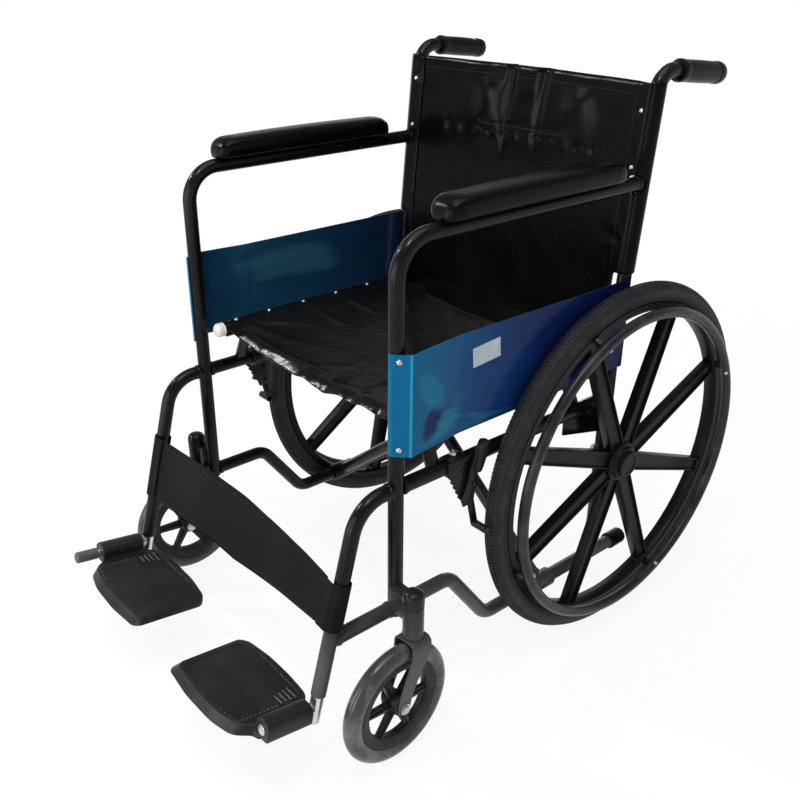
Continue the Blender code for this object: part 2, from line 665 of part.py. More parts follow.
def rear_wheel(side, holder, spin):
    name = side.name
    flats = 1 / cos(pi / TYRE_SIDES)
    middle = side.at(WHEEL_OUT, POST_TO_CANE, WHEEL_R)

    def ring(profile):
        return turned([(r * flats, a) for r, a in profile], middle, side.out, TYRE_SIDES, loop=True)

    add(f"{name}_rear_tyre", ring(tyre_section(WHEEL_R, TYRE_R)), "tyre_rubber", spin)

    rim_inner = RIM_OUTER - RIM_DEPTH
    rim = ring([(rim_inner, -RIM_HALF), (RIM_OUTER, -RIM_HALF), (RIM_OUTER, RIM_HALF), (rim_inner, RIM_HALF)])
    hub_inner = COPE_R + AXLE_SPACER + RUN - WHEEL_OUT
    hub = turned([(HUB_R, hub_inner), (HUB_R, HUB_OUTER)], middle, side.out, 16)
    spokes = []
    for k in range(SPOKES):
        turn = WHEEL_TURN[name] + tau * k / SPOKES
        along, across = Y * cos(turn) + Z * sin(turn), Z * cos(turn) - Y * sin(turn)
        root, tip = HUB_R * 0.6, rim_inner + RIM_DEPTH * 0.25
        outline = [(root, -SPOKE_ROOT), (tip, -SPOKE_TIP), (tip, SPOKE_TIP), (root, SPOKE_ROOT)]
        start = middle - side.out * SPOKE_HALF
        spokes.append(plate(outline, start, along, across, side.out * 2 * SPOKE_HALF))
    bore = rod(
        AXLE_R * FLATS * FLATS + RUN,
        middle + side.out * (hub_inner - TUBE_R),
        middle + side.out * (HUB_OUTER + TUBE_R),
    )
    add(f"{name}_rear_wheel", cut(joined(rim, hub, *spokes), bore), "mag_plastic", spin)

    tube = [
        (HANDRIM_R * flats + HANDRIM_TUBE_R * cos(t), HANDRIM_OUT + HANDRIM_TUBE_R * sin(t))
        for t in (tau * (n + 0.5) / 8 for n in range(8))
    ]
    lugs = []
    for k in range(HANDRIM_LUGS):
        turn = WHEEL_TURN[name] + tau * k / HANDRIM_LUGS
        along, across = Y * cos(turn) + Z * sin(turn), Z * cos(turn) - Y * sin(turn)
        foot, seat = rim_inner + RIM_DEPTH * 0.3, RIM_HALF + GAP
        outline = [
            (HANDRIM_R, HANDRIM_OUT - HANDRIM_TUBE_R / 2),
            (foot, seat),
            (foot + 2 * LUG_HALF, seat),
            (HANDRIM_R + 0.002, HANDRIM_OUT + HANDRIM_TUBE_R / 2),
        ]
        lugs.append(plate(outline, middle - across * LUG_HALF, along, side.out, across * 2 * LUG_HALF))
    hoop = turned(tube, middle, side.out, TYRE_SIDES, loop=True)
    add(f"{name}_handrim", joined(hoop, *lugs), "mag_plastic", spin)

    start, end = side.at(-COPE_R, POST_TO_CANE, WHEEL_R), side.at(WHEEL_OUT + HUB_OUTER, POST_TO_CANE, WHEEL_R)
    axle = bolt(AXLE_R, AXLE_NUT_R, AXLE_NUT_LONG, start, end)
    spacer = rod(
        AXLE_NUT_R,
        side.at(COPE_R, POST_TO_CANE, WHEEL_R),
        side.at(COPE_R + AXLE_SPACER, POST_TO_CANE, WHEEL_R),
    )
    add(f"{name}_rear_axle", joined(axle, spacer), "steel_bolt", holder)


def caster(side, holder, swivel, spin):
    name = side.name
    flats = 1 / cos(pi / CASTER_SIDES)
    axis = side.at(CASTER_OUT[name], CASTER_BACK, 0)
    hub = axis + Vector((0, -CASTER_TRAIL, CASTER_R))

    stem_top = HEAD_Z + HEAD_LONG - HEAD_TOP_WALL
    bore = STEM_R * FLATS + RUN
    profile = [
        (bore, stem_top),
        (bore, HEAD_Z),
        (HEAD_R, HEAD_Z),
        (HEAD_R, HEAD_Z + HEAD_LONG * 0.88),
        (HEAD_R * 0.7, HEAD_Z + HEAD_LONG),
    ]
    head = turned(profile, axis, Z)
    low, high = (HEAD_Z + edge for edge in HEAD_BRACKET)
    ends = sorted((side.at(0, 0, 0).x, side.at(CASTER_OUT[name] - HEAD_R * 0.8, 0, 0).x))
    bracket = block(
        Vector((ends[0], POST_Y + CASTER_BACK - TUBE_R * 0.5, low)),
        Vector((ends[1], POST_Y + TUBE_R * 0.5, high)),
    )
    tubes = (side.post(COPE_R), side.stay(COPE_R), side.stepped_rail(COPE_R))
    add(f"{name}_caster_head", joined(head, cut(bracket, *tubes)), "black_tube", holder)

    wide, deep = FORK_OUT + FORK_THICK, CASTER_TRAIL * 0.6
    crown = plate(
        [(-wide, -deep * 0.6), (-wide * 0.6, -deep), (wide * 0.6, -deep), (wide, -deep * 0.6)]
        + [(wide, deep * 0.6), (wide * 0.6, deep), (-wide * 0.6, deep), (-wide, deep * 0.6)],
        axis + Z * CROWN_Z,
        X,
        -Y,
        Z * FORK_CROWN,
    )
    stem = rod(STEM_R, axis + Z * CROWN_Z, axis + Z * (stem_top - RUN))
    boss = CASTER_NUT_R * 1.6
    foot = [
        (CASTER_TRAIL + boss * cos(t), CASTER_R + boss * sin(t)) for t in (-tau * n / 8 for n in range(5))
    ]
    blade = [(-deep * 0.6, CROWN_Z + FORK_CROWN), (deep * 0.6, CROWN_Z + FORK_CROWN)]
    blade += [(deep, CROWN_Z - FORK_CROWN)] + foot + [(-deep * 0.7, CROWN_Z - 2 * FORK_CROWN)]
    blades = [
        plate(blade, axis + X * offset, -Y, Z, X * FORK_THICK) for offset in (FORK_OUT, -FORK_OUT - FORK_THICK)
    ]
    bolt_hole = rod((CASTER_BOLT_R + GAP) * FLATS, hub - X * 2 * FORK_OUT, hub + X * 2 * FORK_OUT)
    add(f"{name}_caster_fork", cut(joined(crown, stem, *blades), bolt_hole), "black_tube", swivel)

    outer = X * (FORK_OUT + FORK_THICK)
    axle = bolt(CASTER_BOLT_R, CASTER_NUT_R, CASTER_NUT_LONG, hub - outer, hub + outer)
    add(f"{name}_caster_axle", axle, "steel_bolt", swivel)

    def ring(points):
        return turned([(r * flats, a) for r, a in points], hub, X, CASTER_SIDES, loop=True)

    add(f"{name}_caster_tyre", ring(tyre_section(CASTER_R, CASTER_TYRE_R)), "caster_rubber", spin)

    inner = CASTER_RIM_OUTER - CASTER_RIM_DEPTH
    rim = ring(
        [(inner, -CASTER_RIM_HALF), (CASTER_RIM_OUTER, -CASTER_RIM_HALF)]
        + [(CASTER_RIM_OUTER, CASTER_RIM_HALF), (inner, CASTER_RIM_HALF)]
    )
    half = FORK_OUT - RUN
    boss = turned([(CASTER_HUB_R, -half), (CASTER_HUB_R, half)], hub, X, 16)
    spokes = []
    for k in range(CASTER_SPOKES):
        turn = CASTER_TURN[name] + tau * k / CASTER_SPOKES
        along, across = Y * cos(turn) + Z * sin(turn), Z * cos(turn) - Y * sin(turn)
        root, tip = CASTER_HUB_R * 0.6, inner + CASTER_RIM_DEPTH * 0.3
        outline = [(root, -CASTER_SPOKE_HALF), (tip, -CASTER_SPOKE_HALF)]
        outline += [(tip, CASTER_SPOKE_HALF), (root, CASTER_SPOKE_HALF)]
        start = hub - X * CASTER_SPOKE_THICK
        spokes.append(plate(outline, start, along, across, X * 2 * CASTER_SPOKE_THICK))
    hole = rod(CASTER_BOLT_R * FLATS * FLATS + RUN, hub - X * 2 * half, hub + X * 2 * half)
    add(f"{name}_caster_wheel", cut(joined(rim, boss, *spokes), hole), "mag_plastic", spin)


def brake(side, holder, lever_body, shoe_body):
    """A toggle brake: the lever's quadrant pushes a bar against the front of the tyre."""
    name = side.name
    inner = COPE_R
    pivot_y, pivot_z = BRAKE_PIVOT
    shoe_pivot_z = pivot_z - SHOE_PIVOT_DROP
    clamp_y = sum(BRAKE_CLAMP) / 2
    outline = [
        (BRAKE_CLAMP[0] - 0.006, SIDE_RAIL_Z + 0.012),
        (pivot_y + 0.015, SIDE_RAIL_Z + 0.012),
        (pivot_y + 0.014, pivot_z),
        (pivot_y + 0.010, shoe_pivot_z - 0.010),
        (pivot_y - 0.010, shoe_pivot_z - 0.012),
    ]
    for k in range(4):  # the quadrant's teeth
        base = shoe_pivot_z + 0.002 + 0.012 * k
        edge = pivot_y - 0.016 - 0.006 * k
        outline += [(edge, base), (edge - 0.007, base + 0.008)]
    base = plate(outline, side.at(inner, 0, 0), Y, Z, side.out * BRAKE_PLATE_THICK)
    collar_r = inner + BRAKE_CLAMP_WALL
    collar = rod(collar_r, side.at(0, BRAKE_CLAMP[0], SIDE_RAIL_Z), side.at(0, BRAKE_CLAMP[1], SIDE_RAIL_Z))
    lever_end = BRAKE_LEVER_OUT + BRAKE_LEVER_THICK + 0.002
    pins = [
        rod(BRAKE_PIN_R, side.at(inner, pivot_y, pivot_z), side.at(lever_end, pivot_y, pivot_z)),
        rod(
            BRAKE_PIN_R,
            side.at(inner, pivot_y, shoe_pivot_z),
            side.at(SHOE_ARM_OUT + SHOE_ARM_THICK, pivot_y, shoe_pivot_z),
        ),
    ]
    tube_room = bar(
        [side.at(0, clamp_y - 0.05, SIDE_RAIL_Z), side.at(0, clamp_y + 0.05, SIDE_RAIL_Z)], COPE_R, X
    )
    add(f"{name}_brake_plate", cut(joined(base, collar, *pins), tube_room), "black_tube", holder)

    knob_y, knob_z = BRAKE_KNOB
    reach = Vector((0, knob_y - pivot_y, knob_z - pivot_z))
    aside = reach.cross(X).normalized()
    middle = side.at(BRAKE_LEVER_OUT, pivot_y, pivot_z)
    spine = [(-0.030, 0.007), (0.0, 0.0), (0.45, -0.006), (1.0, 0.0)]
    widths = [0.007, 0.011, 0.007, 0.006]
    left = [(reach.length * along, off + wide) for (along, off), wide in zip(spine, widths)]
    right = [(reach.length * along, off - wide) for (along, off), wide in zip(spine, widths)]
    left[0], right[0] = (-0.032, 0.000), (-0.030, -0.012)
    blade = plate(left + right[::-1], middle, reach.normalized(), aside, side.out * BRAKE_LEVER_THICK)
    knob_at = middle + reach + side.out * BRAKE_LEVER_THICK / 2
    knob = rod(BRAKE_KNOB_R * 1.3, knob_at - side.out * BRAKE_KNOB_R * 0.5, knob_at + side.out * BRAKE_KNOB_R)
    through = side.out * BRAKE_LEVER_THICK
    hole = rod(BRAKE_PIN_R * FLATS + RUN, middle - through, middle + through * 2)
    add(f"{name}_brake_lever", cut(joined(blade, knob), hole), "black_tube", lever_body)

    arm_at = side.at(SHOE_ARM_OUT, pivot_y, shoe_pivot_z)
    drop = Vector((0, SHOE_Y - pivot_y, SHOE_Z - shoe_pivot_z))
    down, over = drop.normalized(), drop.cross(X).normalized()
    arm = [(-0.009, -0.006), (drop.length, -SHOE_R), (drop.length + SHOE_R, 0), (drop.length, SHOE_R)]
    arm += [(-0.009, 0.006)]
    link = plate(arm, arm_at, down, over, side.out * SHOE_ARM_THICK)
    shoe = rod(
        SHOE_R,
        side.at(SHOE_ARM_OUT, SHOE_Y, SHOE_Z),
        side.at(WHEEL_OUT + TYRE_R * 0.6, SHOE_Y, SHOE_Z),
    )
    through = side.out * SHOE_ARM_THICK
    pin_hole = rod(BRAKE_PIN_R * FLATS + RUN, arm_at - through, arm_at + side.out * 2 * SHOE_R)
    add(f"{name}_brake_shoe", cut(joined(link, shoe), pin_hole), "black_tube", shoe_body)


def footrest(side, slide, flip):
    """The silver tube that telescopes into the hanger, with a stub ahead that the footplate turns on."""
    name = side.name
    end = side.at(0, hanger_back(HANGER_END_Z), HANGER_END_Z)
    depth = (HANGER_END_Z - STUB_Z[name] + FOOT_TUBE_BELOW) / cos(HANGER_SLOPE)
    tube = bar(
        [end - HANGER_DOWN * (FOOT_TUBE_HIDDEN - TUBE_R * 2), end + HANGER_DOWN * depth], FOOT_TUBE_R, X
    )
    stub_long = FOOT_SLEEVE_FRONT + STUB_BEYOND[name]
    stub = bar([side.foot(0, 0, 0), side.foot(0, stub_long, 0)], STUB_R, X)
    add(f"{name}_footrest_tube", joined(tube, stub), "silver_tube", slide)

    if name == "right":
        bore, hidden = (STUB_R + GAP) * FLATS, FOOT_PLUG_LONG - FOOT_PLUG_SHOWS
        plug = [
            (bore, GAP),
            (bore, -hidden),
            (FOOT_PLUG_R, -hidden),
            (FOOT_PLUG_R, FOOT_PLUG_SHOWS),
            (FOOT_PLUG_R * 0.8, FOOT_PLUG_SHOWS + FOOT_PLUG_TIP),
        ]
        add(f"{name}_footrest_plug", turned(plug, side.foot(0, stub_long, 0), AHEAD), "grip_rubber", slide)
    add(f"{name}_footplate", footplate(side), "foot_plastic", flip)


def footplate(side):
    """A moulded tray, open below, that hangs on its sleeve. Its edge is less deep inboard."""
    half = FOOT_SLEEVE_HALF
    section = [(-half, -half), (half, -half), (half, half * 0.6), (half * 0.6, half)]
    section += [(-half * 0.6, half), (-half, half * 0.6)]
    ends = (FOOT_SLEEVE_BACK, FOOT_SLEEVE_FRONT)
    sleeve = mesh_from([[side.foot(a, ahead, up) for a, up in section] for ahead in ends])

    long, bulge = PLATE_LONG, -PLATE_BULGE
    outline = [
        (half * 0.3, FOOT_SLEEVE_BACK),
        (half, FOOT_SLEEVE_BACK * 0.7),
        (half * 2.2, bulge * 0.7),
        (long * 0.42, bulge),
        (long * 0.68, bulge),
        (long * 0.92, bulge * 0.55),
        (long * 0.99, PLATE_CORNER * 0.125),
        (long, PLATE_REACH - PLATE_CORNER),
        (long * 0.965, PLATE_REACH - PLATE_CORNER * 0.375),
        (long * 0.68, PLATE_REACH),
        (long * 0.36, PLATE_REACH - PLATE_CORNER * 0.125),
        (half * 2, PLATE_REACH - PLATE_CORNER * 0.75),
        (half, FOOT_SLEEVE_FRONT + PLATE_CORNER * 0.1875),
        (half * 0.3, FOOT_SLEEVE_FRONT),
    ]

    def ring(points, drop, slope=0.0):
        return [side.foot(a, b, PLATE_TOP - drop + slope * a / long) for a, b in points]

    def bevelled(a, b):
        share = max(0.0, b) / PLATE_REACH * PLATE_BEVEL
        return a - share * a / long, b - share

    top = [bevelled(a, b) for a, b in outline]
    tray = mesh_from([ring(outline, PLATE_SKIRT, PLATE_THIN), ring(top, 0)])
    middle = (long / 2, (PLATE_REACH - PLATE_BULGE) / 2)
    shrink = 1 - 2 * (PLATE_WALL + PLATE_BEVEL) / (PLATE_REACH + PLATE_BULGE)
    hollow = [(middle[0] + (a - middle[0]) * shrink, middle[1] + (b - middle[1]) * shrink) for a, b in outline]
    pocket = mesh_from([ring(hollow, 2 * PLATE_SKIRT), ring(hollow, PLATE_WALL)])
    bore = bar([side.foot(0, 0, 0), side.foot(0, FOOT_SLEEVE_FRONT + TUBE_R, 0)], STUB_R * FLATS + RUN, X)
    return cut(joined(cut(tray, pocket), sleeve), bore)


def scissor(side, holder, other_rail, bolt_holder=None):
    """The cross tube that turns on this side's lower rail, with the seat rail it carries on the other side."""
    name, other = side.name, other_rail.name
    back = CROSS_BACK + side.sign * CROSS_STEP
    sleeve = rod(
        PIVOT_SLEEVE_R,
        side.at(0, back - PIVOT_SLEEVE_LONG / 2, REAR_RAIL_Z),
        side.at(0, back + PIVOT_SLEEVE_LONG / 2, REAR_RAIL_Z),
    )
    bore = bar(
        [side.at(0, back - PIVOT_SLEEVE_LONG, REAR_RAIL_Z), side.at(0, back + PIVOT_SLEEVE_LONG, REAR_RAIL_Z)],
        TUBE_R * FLATS + RUN,
        X,
    )
    middle = Vector((0, POST_Y + CROSS_BACK, CROSS_PIVOT_Z))
    reach = Y * (CROSS_STEP + 2 * TUBE_R)
    pivot_hole = rod(PIVOT_BOLT_R * FLATS + RUN, middle - reach, middle + reach)
    tube = cut(joined(side.cross_bar(), sleeve), bore, other_rail.seat_bar(COPE_R, TUBE_R), pivot_hole)
    add(f"{name}_cross_tube", tube, "black_tube", holder)

    socket = bar(
        [
            other_rail.at(SEAT_HALF - FRAME_HALF, SEAT_FRONT - TUBE_R, SEAT_RAIL_Z),
            other_rail.at(SEAT_HALF - FRAME_HALF, SEAT_FRONT + PLUG_DEPTH + GAP, SEAT_RAIL_Z),
        ],
        (PLUG_R + GAP) * FLATS,
        X,
    )
    add(f"{other}_seat_rail", cut(other_rail.seat_bar(), socket), "black_tube", holder)

    plug = [
        (PLUG_HEAD_R * 0.85, -PLUG_HEAD_LONG - GAP),
        (PLUG_HEAD_R, -PLUG_HEAD_LONG * 0.85 - GAP),
        (PLUG_HEAD_R, -GAP),
        (PLUG_R, -GAP),
        (PLUG_R, PLUG_DEPTH),
    ]
    mouth = other_rail.at(SEAT_HALF - FRAME_HALF, SEAT_FRONT, SEAT_RAIL_Z)
    add(f"{other}_rail_plug", turned(plug, mouth, Y), "white_plug", holder)


def pivot_bolt(holder):
    middle = Vector((0, POST_Y + CROSS_BACK, CROSS_PIVOT_Z))
    reach = Y * (CROSS_STEP + TUBE_R + GAP)
    spacer_half = Y * (CROSS_SPACER / 2 - RUN)
    pin = bolt(PIVOT_BOLT_R, PIVOT_HEAD_R, PIVOT_HEAD_LONG, middle - reach, middle + reach)
    spacer = rod(PIVOT_HEAD_R, middle - spacer_half, middle + spacer_half)
    add("cross_pivot_bolt", joined(pin, spacer), "steel_bolt", holder)


def sling_ring(half, sag, place, front, fold=None, drawn=None, points=11):
    """A section of an upholstery sling: a sheet between two tubes, with a hem round each of them.

    place is the middle of the two tubes, half is half their distance, front is the way the sheet's face looks.
    fold gives what the sheet goes back by at an x, and drawn the way that the section itself moves there.
    """
    fold = fold or (lambda x: 0.0)
    drawn = drawn or (lambda x: Vector())

    def spot(x, ahead):
        return place + X * x + front * ahead + drawn(x)

    inner = half - 1.35 * HEM_R
    across = [inner * (2 * k / (points - 1) - 1) for k in range(points)]

    def dip(x):
        return sag * (1 - (x / half) ** 2) + fold(x)

    hem = [radians(angle) for angle in (90, 60, 30, 0, -30, -60, -90, -120, -150)]
    ring = [spot(x, HEM_R - dip(x)) for x in across]
    ring += [spot(half + HEM_R * cos(t), HEM_R * sin(t)) for t in hem]
    ring += [spot(x, HEM_R - CLOTH - dip(x)) for x in reversed(across)]
    ring += [spot(-half - HEM_R * cos(t), HEM_R * sin(t)) for t in reversed(hem)]
    return ring


def seat(left, right, holder):
    start, end = SEAT_FRONT + SEAT_START_GAP, SEAT_BACK - SEAT_END_GAP
    rings = []
    for share in (0, 0.03, 0.2, 0.4, 0.6, 0.8, 1):
        sag = SEAT_FRONT_SAG + (SEAT_SAG - SEAT_FRONT_SAG) * sin(pi * min(1, share * 1.1))
        place = Vector((0, POST_Y + start + (end - start) * share, SEAT_RAIL_Z))
        rings.append(sling_ring(SEAT_HALF, sag, place, Z, points=9))
    cloth = cut(
        mesh_from(rings),
        *[side.seat_bar(COPE_R, TUBE_R) for side in (left, right)],
        *[side.cross_bar(CUFF_R) for side in (left, right)],
    )
    add("seat", cloth, "black_vinyl", holder)


def backrest(left, right, holder):
    rings = []
    stations = 10
    for k in range(stations + 1):
        up = BACK_BOTTOM + (BACK_TOP - BACK_BOTTOM) * k / stations
        near_top = max(0.0, 1 - (BACK_TOP - up) / (0.35 * (BACK_TOP - BACK_BOTTOM)))

        def fold(x, near_top=near_top):
            bumps = (max(0.0, 1 - abs(x - middle) / FOLD_HALF) for middle in BACK_FOLDS)
            return FOLD_DEPTH * near_top * sum(bumps)

        place = Vector((0, POST_Y + cane_back(up), up))
        rings.append(sling_ring(FRAME_HALF, BACK_SAG, place, -Y, fold, points=15))
    notches = [side.post(CUFF_R) for side in (left, right)]
    for side in (left, right):  # below the guard's top edge the sheet ends inside the canes
        ends = sorted((side.at(-COPE_R, 0, 0).x, side.at(2 * HEM_R, 0, 0).x))
        low = Vector((ends[0], POST_Y + POST_TO_CANE - 3 * HEM_R, BACK_BOTTOM - HEM_R))
        high = Vector((ends[1], POST_Y + POST_TO_CANE + 3 * HEM_R, GUARD_TOP + HEM_R * 0.5))
        notches.append(block(low, high))
    cloth = cut(mesh_from(rings), *[side.cane(COPE_R) for side in (left, right)], *notches)
    add("backrest", cloth, "black_vinyl", holder)


def calf_strap(left, right, holder):
    """The strap behind the user's calves, which narrows towards the left hanger."""
    rings = []
    for share in (0, 0.5, 1):
        up = STRAP_BOTTOM + (STRAP_TOP - STRAP_BOTTOM) * share
        rise = STRAP_DRAW[0] * (1 - share) + STRAP_DRAW[1] * share

        def drawn(x, rise=rise):
            return -HANGER_DOWN * rise / cos(HANGER_SLOPE) * max(0.0, min(1.0, x / (FRAME_HALF - HEM_R)))

        place = Vector((0, POST_Y + hanger_back(up), up))
        rings.append(sling_ring(FRAME_HALF, STRAP_SAG, place, HANGER_AHEAD, drawn=drawn, points=9))
    tubes = [side.hanger(COPE_R) for side in (left, right)] + [side.stay(CUFF_R) for side in (left, right)]
    cloth = cut(mesh_from(rings), *tubes)
    add("calf_strap", cloth, "strap_vinyl", holder)


def main():
    for thing in list(bpy.data.objects):
        bpy.data.objects.remove(thing)

    left, right = Side("left"), Side("right")
    body("chair", right.at(0, 0, 0))
    body("cross_a", right.at(0, CROSS_BACK, REAR_RAIL_Z), "chair")
    body("cross_b", Vector((0, POST_Y + CROSS_BACK, CROSS_PIVOT_Z)), "cross_a")
    body("left_frame", left.at(0, 0, REAR_RAIL_Z), "cross_b")

    for side, frame in ((left, "left_frame"), (right, "chair")):
        name = side.name
        pivot_y, pivot_z = BRAKE_PIVOT
        body(f"{name}_wheel", side.at(WHEEL_OUT, POST_TO_CANE, WHEEL_R), frame)
        body(f"{name}_caster", side.at(CASTER_OUT[name], CASTER_BACK, 0), frame)
        hub = side.at(CASTER_OUT[name], CASTER_BACK - CASTER_TRAIL, CASTER_R)
        body(f"{name}_caster_roll", hub, f"{name}_caster")
        body(f"{name}_brake", side.at(0, pivot_y, pivot_z), frame)
        body(f"{name}_shoe", side.at(0, pivot_y, pivot_z - SHOE_PIVOT_DROP), frame)
        body(f"{name}_footrest", side.at(0, hanger_back(HANGER_END_Z), HANGER_END_Z), frame)
        body(f"{name}_plate", side.foot(0, 0, 0), f"{name}_footrest")

        side_frame(side, frame)
        push_grip(side, frame)
        arm_pad(side, frame)
        side_guard(side, frame)
        rear_wheel(side, frame, f"{name}_wheel")
        caster(side, frame, f"{name}_caster", f"{name}_caster_roll")
        brake(side, frame, f"{name}_brake", f"{name}_shoe")
        footrest(side, f"{name}_footrest", f"{name}_plate")
        BODIES[f"{name}_caster"][0].rotation_euler.z = CASTER_STEER[name]
        hang = BODIES[f"{name}_plate"][0]
        hang.rotation_mode = "QUATERNION"
        hang.rotation_quaternion = Quaternion(AHEAD, side.sign * PLATE_DROOP[name])

    scissor(right, "cross_a", left)
    scissor(left, "cross_b", right)
    pivot_bolt("cross_a")
    seat(left, right, "cross_a")
    backrest(left, right, "chair")
    calf_strap(left, right, "chair")


main()
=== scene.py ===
# %% [markdown]
# A folding wheelchair with a black tube frame, blue side guards, moulded wheels and vinyl slings.
#
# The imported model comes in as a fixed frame. Every solid is then given its real surface: round tubes in place
# of many-sided ones, edges with a radius, cloth that creases, and a finish for each material.

import json
from math import atan2, ceil, cos, pi, radians, sin, sqrt, tan, tau

import bmesh
import bpy
from mathutils import Matrix, Quaternion, Vector, noise
from mathutils.bvhtree import BVHTree


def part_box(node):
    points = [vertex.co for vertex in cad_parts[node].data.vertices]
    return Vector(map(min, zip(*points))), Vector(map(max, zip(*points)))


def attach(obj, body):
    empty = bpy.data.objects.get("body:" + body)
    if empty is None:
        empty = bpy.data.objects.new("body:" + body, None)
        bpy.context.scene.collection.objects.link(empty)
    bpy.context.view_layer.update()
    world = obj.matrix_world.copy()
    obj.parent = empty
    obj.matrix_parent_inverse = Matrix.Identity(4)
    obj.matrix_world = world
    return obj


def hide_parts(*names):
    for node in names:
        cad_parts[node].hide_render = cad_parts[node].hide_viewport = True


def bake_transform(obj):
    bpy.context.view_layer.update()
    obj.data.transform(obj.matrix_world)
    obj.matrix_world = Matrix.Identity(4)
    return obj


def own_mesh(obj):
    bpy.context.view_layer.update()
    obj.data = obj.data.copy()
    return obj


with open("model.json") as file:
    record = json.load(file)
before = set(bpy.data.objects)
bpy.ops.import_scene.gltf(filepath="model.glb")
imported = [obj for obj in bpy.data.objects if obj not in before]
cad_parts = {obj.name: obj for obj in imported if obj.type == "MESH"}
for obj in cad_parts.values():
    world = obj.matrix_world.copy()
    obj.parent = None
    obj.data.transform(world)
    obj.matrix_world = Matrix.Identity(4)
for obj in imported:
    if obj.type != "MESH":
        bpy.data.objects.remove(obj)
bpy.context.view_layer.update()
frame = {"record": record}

# %% [markdown]
# Everything on the chair is placed from its side frames. A place is given by three distances: out from the
# middle of the frame tubes, back from the front post, and up from the floor. The same sizes made the solids.

# %% Sizes of the chair
TUBE_R = 0.011
FRAME_HALF = 0.2525
POST_TO_CANE = 0.447
WHEEL_R = 0.2995
ARM_Z, ARM_BEND = 0.743, 0.052
SIDE_RAIL_Z = 0.402
HANGER_CORNER, HANGER_SLOPE, HANGER_BEND, HANGER_END_Z = 0.0635, radians(15.2), 0.055, 0.126
FRONT_RAIL_Z, REAR_RAIL_Z = 0.207, 0.100
STEP_START, STEP_END, STEP_BEND = 0.105, 0.185, 0.035
TIP_REACH = 0.082
CANE_KINK_Z, CANE_LEAN, CANE_TOP_Z, CANE_BEND = 0.500, radians(5.4), 0.901, 0.034
HANDLE_DROOP, HANDLE_LENGTH = radians(6), 0.148
SEAT_HALF, SEAT_RAIL_Z = 0.2275, 0.478
SEAT_FRONT, SEAT_BACK = 0.0278, POST_TO_CANE - TUBE_R - 0.014
STUB_Z = {"left": 0.106, "right": 0.115}
STUB_TILT = radians(9)

rear_low, rear_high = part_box("left_rear_tyre")
POST_Y = (rear_low[1] + rear_high[1]) / 2 - POST_TO_CANE
X, Y, Z = Vector((1, 0, 0)), Vector((0, 1, 0)), Vector((0, 0, 1))
HANGER_DOWN = Vector((0, -sin(HANGER_SLOPE), -cos(HANGER_SLOPE)))
HANGER_AHEAD = Vector((0, -cos(HANGER_SLOPE), sin(HANGER_SLOPE)))
AHEAD = Vector((0, -cos(STUB_TILT), sin(STUB_TILT)))
FOOT_UP = Vector((0, sin(STUB_TILT), cos(STUB_TILT)))
print("front post at y", round(POST_Y, 4))


def hanger_back(up):
    return -HANGER_CORNER - (SIDE_RAIL_Z - up) * tan(HANGER_SLOPE)


def cane_back(up):
    return POST_TO_CANE + max(0.0, up - CANE_KINK_Z) * tan(CANE_LEAN)


class Side:
    """One side of the chair: the user's left is +X."""

    def __init__(self, name, sign, body):
        self.name, self.sign, self.body = name, sign, body
        self.out = X * sign

    def at(self, out, back, up):
        return Vector((self.sign * (FRAME_HALF + out), POST_Y + back, up))

    def foot(self, inboard, ahead, up):
        height = STUB_Z[self.name]
        start = self.at(0, hanger_back(height), height)
        return start - self.out * inboard + AHEAD * ahead + FOOT_UP * up

    def path(self, *spots):
        return [self.at(0, back, up) for back, up in spots]


LEFT, RIGHT = Side("left", 1, "left_frame"), Side("right", -1, "chair")
SIDES = (LEFT, RIGHT)

# %% [markdown]
# The camera stands ahead of the chair and to its left, a little above the handles, and looks down. Its place
# was found from the photograph, with the floor, the side frames and the wheels as rulers.

# %% Camera
CAMERA_YAW, CAMERA_PITCH, CAMERA_ROLL = radians(50.16), radians(25.53), radians(0.04)
CAMERA_PLACE = (1.0665, -0.695 + POST_Y, 1.0547)
PHOTO_PX, FOCAL_PX, CENTRE_PX = 800, 932.46, (386.8, 393.3)


def placed(name, data):
    """An object of its own at the origin of the scene."""
    made = bpy.data.objects.new(name, data)
    bpy.context.scene.collection.objects.link(made)
    return made


lens = bpy.data.cameras.new("camera")
camera = placed("camera", lens)
level = cos(CAMERA_PITCH)
look = Vector((-sin(CAMERA_YAW) * level, cos(CAMERA_YAW) * level, -sin(CAMERA_PITCH)))
across = look.cross(Z).normalized()
aimed = Matrix((across, across.cross(look), -look)).transposed().to_4x4()
camera.matrix_world = Matrix.Translation(CAMERA_PLACE) @ aimed @ Matrix.Rotation(CAMERA_ROLL, 4, "Z")
lens.sensor_width = 36
lens.lens = FOCAL_PX * lens.sensor_width / PHOTO_PX
lens.shift_x = (PHOTO_PX / 2 - CENTRE_PX[0]) / PHOTO_PX
lens.shift_y = (CENTRE_PX[1] - PHOTO_PX / 2) / PHOTO_PX
lens.clip_start = 0.01
bpy.context.scene.camera = camera
print("lens", round(lens.lens, 2), "mm")

# %% [markdown]
# A material here is a sum written as Python. One small class wraps a socket, so that a plus between two of them
# adds a Math node. A second class adds any other node to a tree. It serves the world and Geometry Nodes too.


# %% A socket that can be added and multiplied
SMOOTH = {"interpolation_type": "SMOOTHSTEP"}


